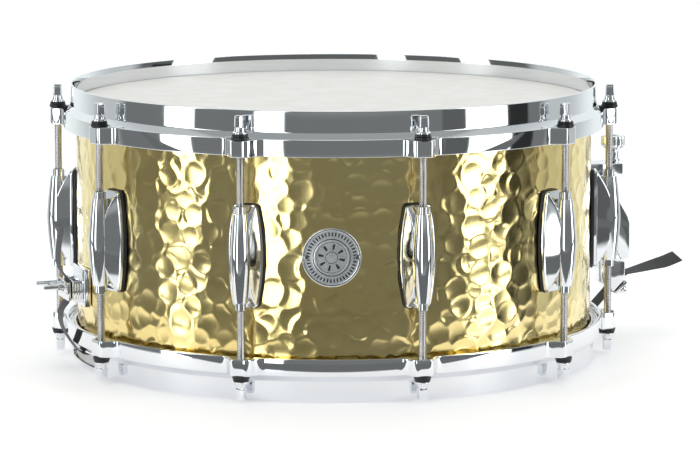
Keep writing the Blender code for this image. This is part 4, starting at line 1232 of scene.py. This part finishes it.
def makeWires():
    s = wireSetup
    turn = Matrix.Rotation(drumSizes["strainerAzimuth"], 4, "Z")
    reach = s["halfLength"] - 0.62 * s["plateLength"]
    turns = int(2 * reach / s["coilPitch"])
    perTurn, sides = 6, 3
    count = turns * perTurn + 1
    along = np.linspace(-reach, reach, count)
    angle = np.arange(count) * 2 * pi / perTurn
    rise = s["coilPitch"] / (2 * pi)
    points, faces = [], []
    for i in range(s["strands"]):
        across = (i - (s["strands"] - 1) / 2) * s["pitch"]
        outward = np.stack([np.cos(angle), np.zeros(count), np.sin(angle)], -1)
        way = np.stack([-s["coilRadius"] * np.sin(angle), np.full(count, rise),
                        s["coilRadius"] * np.cos(angle)], -1)
        way /= np.linalg.norm(way, axis=1, keepdims=True)
        third = np.cross(outward, way)
        middle = outward * s["coilRadius"] + np.stack([np.full(count, across), along,
                np.full(count, s["height"])], -1)
        rings = [middle + s["wireRadius"] * (outward * cos(2 * pi * k / sides)
                                             + third * sin(2 * pi * k / sides)) for k in range(sides)]
        faces += gridFaces(count, sides, False, True, len(points) * count * sides)
        points.append(np.stack(rings, 1).reshape(-1, 3))
    mesh = meshOf("snareCoils", np.concatenate(points), faces, 75.0, weld=False)
    place("snareCoils", mesh, wireSteel, "snare_wires", "snare_steel", ["snare_wires"], turn)
    half = s["pitch"] * s["strands"] / 2
    low, high = s["plateBottom"], s["plateBottom"] + s["plateThickness"]
    parts = []
    for side in (-1, 1):
        near, far = sorted((side * (s["halfLength"] - s["plateLength"]), side * s["halfLength"]))
        parts.append((boxMesh("wirePlate", (-half, near, low), (half, far, low + 0.6 * mm), 0.25 * mm, 2),
                      unmoved))
        inner = side * (s["halfLength"] - s["plateLength"])
        bar = sorted((inner, inner + side * 8 * mm))
        parts.append((boxMesh("wireSolder", (-half + 0.4 * mm, bar[0], low + 0.4 * mm),
                              (half - 0.4 * mm, bar[1], high + 0.35 * mm), 0.35 * mm, 2), unmoved))
        for end in (-1, 1):
            rivet = lathe("plateRivet",
                          rounded([(0, 0, 0), (1.5 * mm, 0, 0), (1.5 * mm, 0.5 * mm, 0.3 * mm),
                                   (0, 0.7 * mm, 0)], 3, closed=False), 18)
            parts.append((rivet, Matrix.Translation((end * half * 0.78, side * (s["halfLength"] - 4.5 * mm),
                    low + 0.5 * mm))))
    place("snareEndPlates", joinMeshes("snareEndPlates", parts), wireSteel, "snare_wires", "snare_steel",
          (), turn)


makeWires()
print("snare wires strung")


screwSetup = {"headRadius": 4.2 * mm, "headHeight": 2.6 * mm, "washerRadius": 6.2 * mm,
              "washerThickness": 1.0 * mm}


def panHead(name, radius, height):
    # a round head with a cross recess
    head = lathe(name, rounded([(0, 0, 0), (radius, 0, 0.1 * mm), (radius, height * 0.5, height * 0.45),
                                (radius * 0.55, height, height * 0.3), (0, height, 0)], 5, closed=False),
                 32)
    cuts = []
    for turn in (0, pi / 2):
        bar = boxMesh(name + "Recess", (-radius * 0.55, -radius * 0.11, height * 0.45),
                      (radius * 0.55, radius * 0.11, height * 1.4), 0.05 * mm, 1)
        cuts.append((bar, Matrix.Rotation(turn, 4, "Z")))
    return carve(head, name, cuts)


def makeInnerScrews():
    s = screwSetup
    inner = shellRadius - shellSetup["wall"] - 0.6 * mm
    head = panHead("lugScrew", s["headRadius"], s["headHeight"])
    washer = lathe("lugWasher",
                   rounded([(2.4 * mm, 0, 0), (s["washerRadius"], 0, 0.2 * mm),
                            (s["washerRadius"], s["washerThickness"], 0.3 * mm),
                            (2.4 * mm, s["washerThickness"], 0)], 3), 28, closed=True)
    both = joinMeshes("lugScrewSet",
                      [(washer, unmoved), (head, Matrix.Translation((0, 0, s["washerThickness"])))])
    number = 0
    for azimuth in lugAzimuths:
        for side in (-1, 1):
            number += 1
            spot = turned(azimuth, inner - 0.05 * mm, midHeight + side * 25 * mm) @ Matrix.Rotation(-pi / 2,
                    4, "X")
            place(f"lugScrew{number:02d}", both, threadSteel, "drum_body", "chrome_plate", (), spot)


makeInnerScrews()


strainerSetup = {
    "azimuth": drumSizes["strainerAzimuth"],
    "knobCircle": 207.5 * mm,
    "knobRadius": 8.6 * mm,
    "knobLow": 135.0 * mm,
    "knobHigh": 144.5 * mm,
    "neckRadius": 4.0 * mm,
    "neckLow": 126.3 * mm,
    "flutes": 12,
    "fluteDepth": 0.62 * mm,
    "stemRadius": 2.2 * mm,
    "stemFoot": 48.0 * mm,
    "clampRadius": 208.5 * mm,
    "clampHeight": 38.5 * mm,
    "clampTilt": radians(135),
    "plateHalfWidth": 13.5 * mm,
    "plateHalfHeight": 6 * mm,
    "plateLow": 0.6 * mm,
    "plateHigh": 3.1 * mm,
    "clampScrewOffset": 10.7 * mm,
    "clampScrewRadius": 1.9 * mm,
    "clampScrewLength": 4.6 * mm,
    "pinRadius": 2.0 * mm,
    "pinHalfLength": 17.6 * mm,
    "pinCircle": 190.1 * mm,
    "pinHeight": 111 * mm,
    "baseFace": 182.7 * mm,
    "baseScrewHeights": (52 * mm, 128 * mm),
    "baseScrewRadius": 3.4 * mm,
    "baseScrewHead": 1.9 * mm,
}


def makeKnob():
    s = strainerSetup
    low, high, radius = s["knobLow"], s["knobHigh"], s["knobRadius"]
    corners = [
        (0, high - 0.9 * mm, 0), (radius * 0.45, high - 0.9 * mm, 0.3 * mm),
               (radius * 0.52, high, 0.3 * mm), (radius - 0.2 * mm, high, 0.9 * mm),
               (radius, high - 1.6 * mm, 0.4 * mm),
        (radius, low + 3.2 * mm, 0.4 * mm), (radius - 0.5 * mm, low + 2.0 * mm, 0.5 * mm),
               (radius - 1.6 * mm, low + 1.6 * mm, 0.3 * mm), (radius - 1.6 * mm, low + 0.9 * mm, 0.3 * mm),
        (s["neckRadius"] + 1.6 * mm, low, 0.8 * mm), (s["neckRadius"], low - 1.6 * mm, 1.0 * mm),
               (s["neckRadius"], s["neckLow"] + 2.4 * mm, 0.4 * mm),
        (s["neckRadius"] + 1.1 * mm, s["neckLow"] + 1.7 * mm, 0.3 * mm),
               (s["neckRadius"] + 1.1 * mm, s["neckLow"], 0.3 * mm), (0, s["neckLow"], 0),
    ]
    profile = rounded(corners, 4, closed=False)

    def flute(r, z, turn):
        inside = np.clip((z - (low + 1.8 * mm)) / (1.2 * mm), 0,
                         1) * np.clip((r - radius * 0.8) / (radius * 0.2), 0, 1)
        wave = np.clip(np.cos(turn * s["flutes"]), -0.35, 1.0)
        return r - s["fluteDepth"] * inside * (wave + 0.35) / 1.35, z

    knob = lathe("knobGrip", profile, 144, sharp=40.0, wobble=flute)
    stem = screwThread("knobStem", s["stemRadius"], s["stemFoot"], s["neckLow"] + 1 * mm, 0.9 * mm,
                       0.28 * mm, 12, 4)
    mesh = joinMeshes("strainerKnobTurned", [(knob, unmoved), (stem, unmoved)], 38.0)
    place("strainerKnobTurned", mesh, chrome, "strainer_knob", "chrome_plate", ["strainer_knob"],
          turned(s["azimuth"], s["knobCircle"]))


def keyScrew(name, radius, length):
    # a drum-key screw: a round collar and a square head, along +Z
    collar = lathe(name + "Collar",
                   rounded([(0, 0, 0), (radius * 1.9, 0, 0.2 * mm), (radius * 1.9, 1.1 * mm, 0.3 * mm),
                            (radius * 1.25, 1.7 * mm, 0.4 * mm), (0, 1.7 * mm, 0)], 3, closed=False), 24)
    head = boxMesh(name + "Head", (-radius * 0.85, -radius * 0.85, 1.0 * mm),
                   (radius * 0.85, radius * 0.85, length), 0.4 * mm, 3)
    return joinMeshes(name, [(collar, unmoved), (head, unmoved)])


def makeStrainer():
    s = strainerSetup
    turn = turned(s["azimuth"])
    # name, node, edge in mm, material, body
    castings = (
        ("strainerBaseCast", "strainer_base", 0.8, castChrome, "drum_body"),
        ("strainerCarriageCast", "strainer_carriage", 0.6, castChrome, "strainer_carriage"),
        ("strainerLeverFormed", "strainer_lever", 0.5, chrome, "strainer_lever"),
        ("strapClampBlock", "strainer_clamp_block", 0.5, castChrome, "strap_clamp"),
    )
    for name, node, edge, material, body in castings:
        place(name, softened(name, node, edge * mm), material, body, "chrome_plate", [node])
    half, thick = s["pinHalfLength"], s["pinRadius"]
    outline = [(0, -half, 0), (thick, -half, 0.4 * mm), (thick, half, 0.4 * mm), (0, half, 0)]
    pin = lathe("pivotPin", rounded(outline, 3, closed=False), 28)
    place("pivotPinTurned", pin, chrome, "drum_body", "chrome_plate", ["strainer_pivot_pin"],
          turned(s["azimuth"], s["pinCircle"], s["pinHeight"]) @ Matrix.Rotation(pi / 2, 4, "Y"))
    slope = turned(0, s["clampRadius"], s["clampHeight"]) @ Matrix.Rotation(s["clampTilt"], 4, "X")
    low, high = s["plateLow"], s["plateHigh"]
    wide, tall = s["plateHalfWidth"], s["plateHalfHeight"]
    parts = [(boxMesh("clampPlate", (-wide, -tall, low), (wide, tall, high), 0.6 * mm), slope)]
    for side in (-1, 1):
        screw = keyScrew("clampScrew", s["clampScrewRadius"], s["clampScrewLength"])
        parts.append((screw, slope @ Matrix.Translation((side * s["clampScrewOffset"], 0, high))))
    plate = joinMeshes("strapClampPlate", parts)
    place("strapClampPlate", plate, chrome, "strap_clamp", "chrome_plate", ["strainer_clamp_plate"], turn)
    head = panHead("baseScrew", s["baseScrewRadius"], s["baseScrewHead"])
    for number, height in enumerate(s["baseScrewHeights"], 1):
        spot = turned(s["azimuth"], s["baseFace"], height) @ Matrix.Rotation(pi / 2, 4, "X")
        place(f"strainerBaseScrew{number}", head, chrome, "drum_body", "chrome_plate", (), spot)
    makeKnob()


makeStrainer()
print("strainer built")


buttSetup = {
    "azimuth": drumSizes["buttAzimuth"],
    "plateIn": 190.5 * mm,
    "plateOut": 193.0 * mm,
    "plateHalfWidth": 13.5 * mm,
    "low": 48.5 * mm,
    "high": 61.0 * mm,
    "screwHeight": 57.65 * mm,
    "screwOffset": 10.7 * mm,
    "screwRadius": 1.9 * mm,
    "screwLength": 15.9 * mm,
    "endRibs": 4,
    "endRibOffset": 13.2 * mm,
    "endRibFrom": 183.6 * mm,
    "faceRibs": 9,
    "ribPitch": 1.8 * mm,
}


def makeButt():
    s = buttSetup
    turn = turned(s["azimuth"])
    base = softened("buttBasePlate", "butt_base", 0.7 * mm)
    base.transform(Matrix.Rotation(-s["azimuth"], 4, "Z"))
    parts = [(base, unmoved)]
    low, high, out = s["low"], s["high"], s["plateOut"]
    # upright ribs on the block's two ends and on the clamp plate
    for side in (-1, 1):
        for i in range(s["endRibs"]):
            reach, x = s["endRibFrom"] + i * s["ribPitch"], side * s["endRibOffset"]
            near = (x - 0.9 * mm, -reach - 0.55 * mm, low + 0.6 * mm)
            far = (x + 0.9 * mm, -reach + 0.55 * mm, high - 0.6 * mm)
            parts.append((boxMesh("buttRib", near, far, 0.4 * mm, 2), unmoved))
    base = joinMeshes("buttBaseCast", parts)
    place("buttBaseCast", base, castChrome, "drum_body", "chrome_plate", ["butt_base"], turn)
    wide = s["plateHalfWidth"]
    parts = [(boxMesh("buttPlate", (-wide, -out, low), (wide, -s["plateIn"], high), 0.6 * mm), unmoved)]
    for i in range(s["faceRibs"]):
        x = (i - 4) * s["ribPitch"]
        near = (x - 0.5 * mm, -out - 0.5 * mm, low + 1.2 * mm)
        far = (x + 0.5 * mm, -out + 0.4 * mm, high - 1.2 * mm)
        parts.append((boxMesh("buttRib", near, far, 0.35 * mm, 2), unmoved))
    for side in (-1, 1):
        spot = Matrix.Translation((side * s["screwOffset"], -out, s["screwHeight"]))
        screw = keyScrew("buttScrew", s["screwRadius"], s["screwLength"])
        parts.append((screw, spot @ Matrix.Rotation(pi / 2, 4, "X")))
    plate = joinMeshes("buttClampPlate", parts)
    place("buttClampPlate", plate, chrome, "drum_body", "chrome_plate", ["butt_clamp_plate"], turn)


makeButt()
print("butt built")
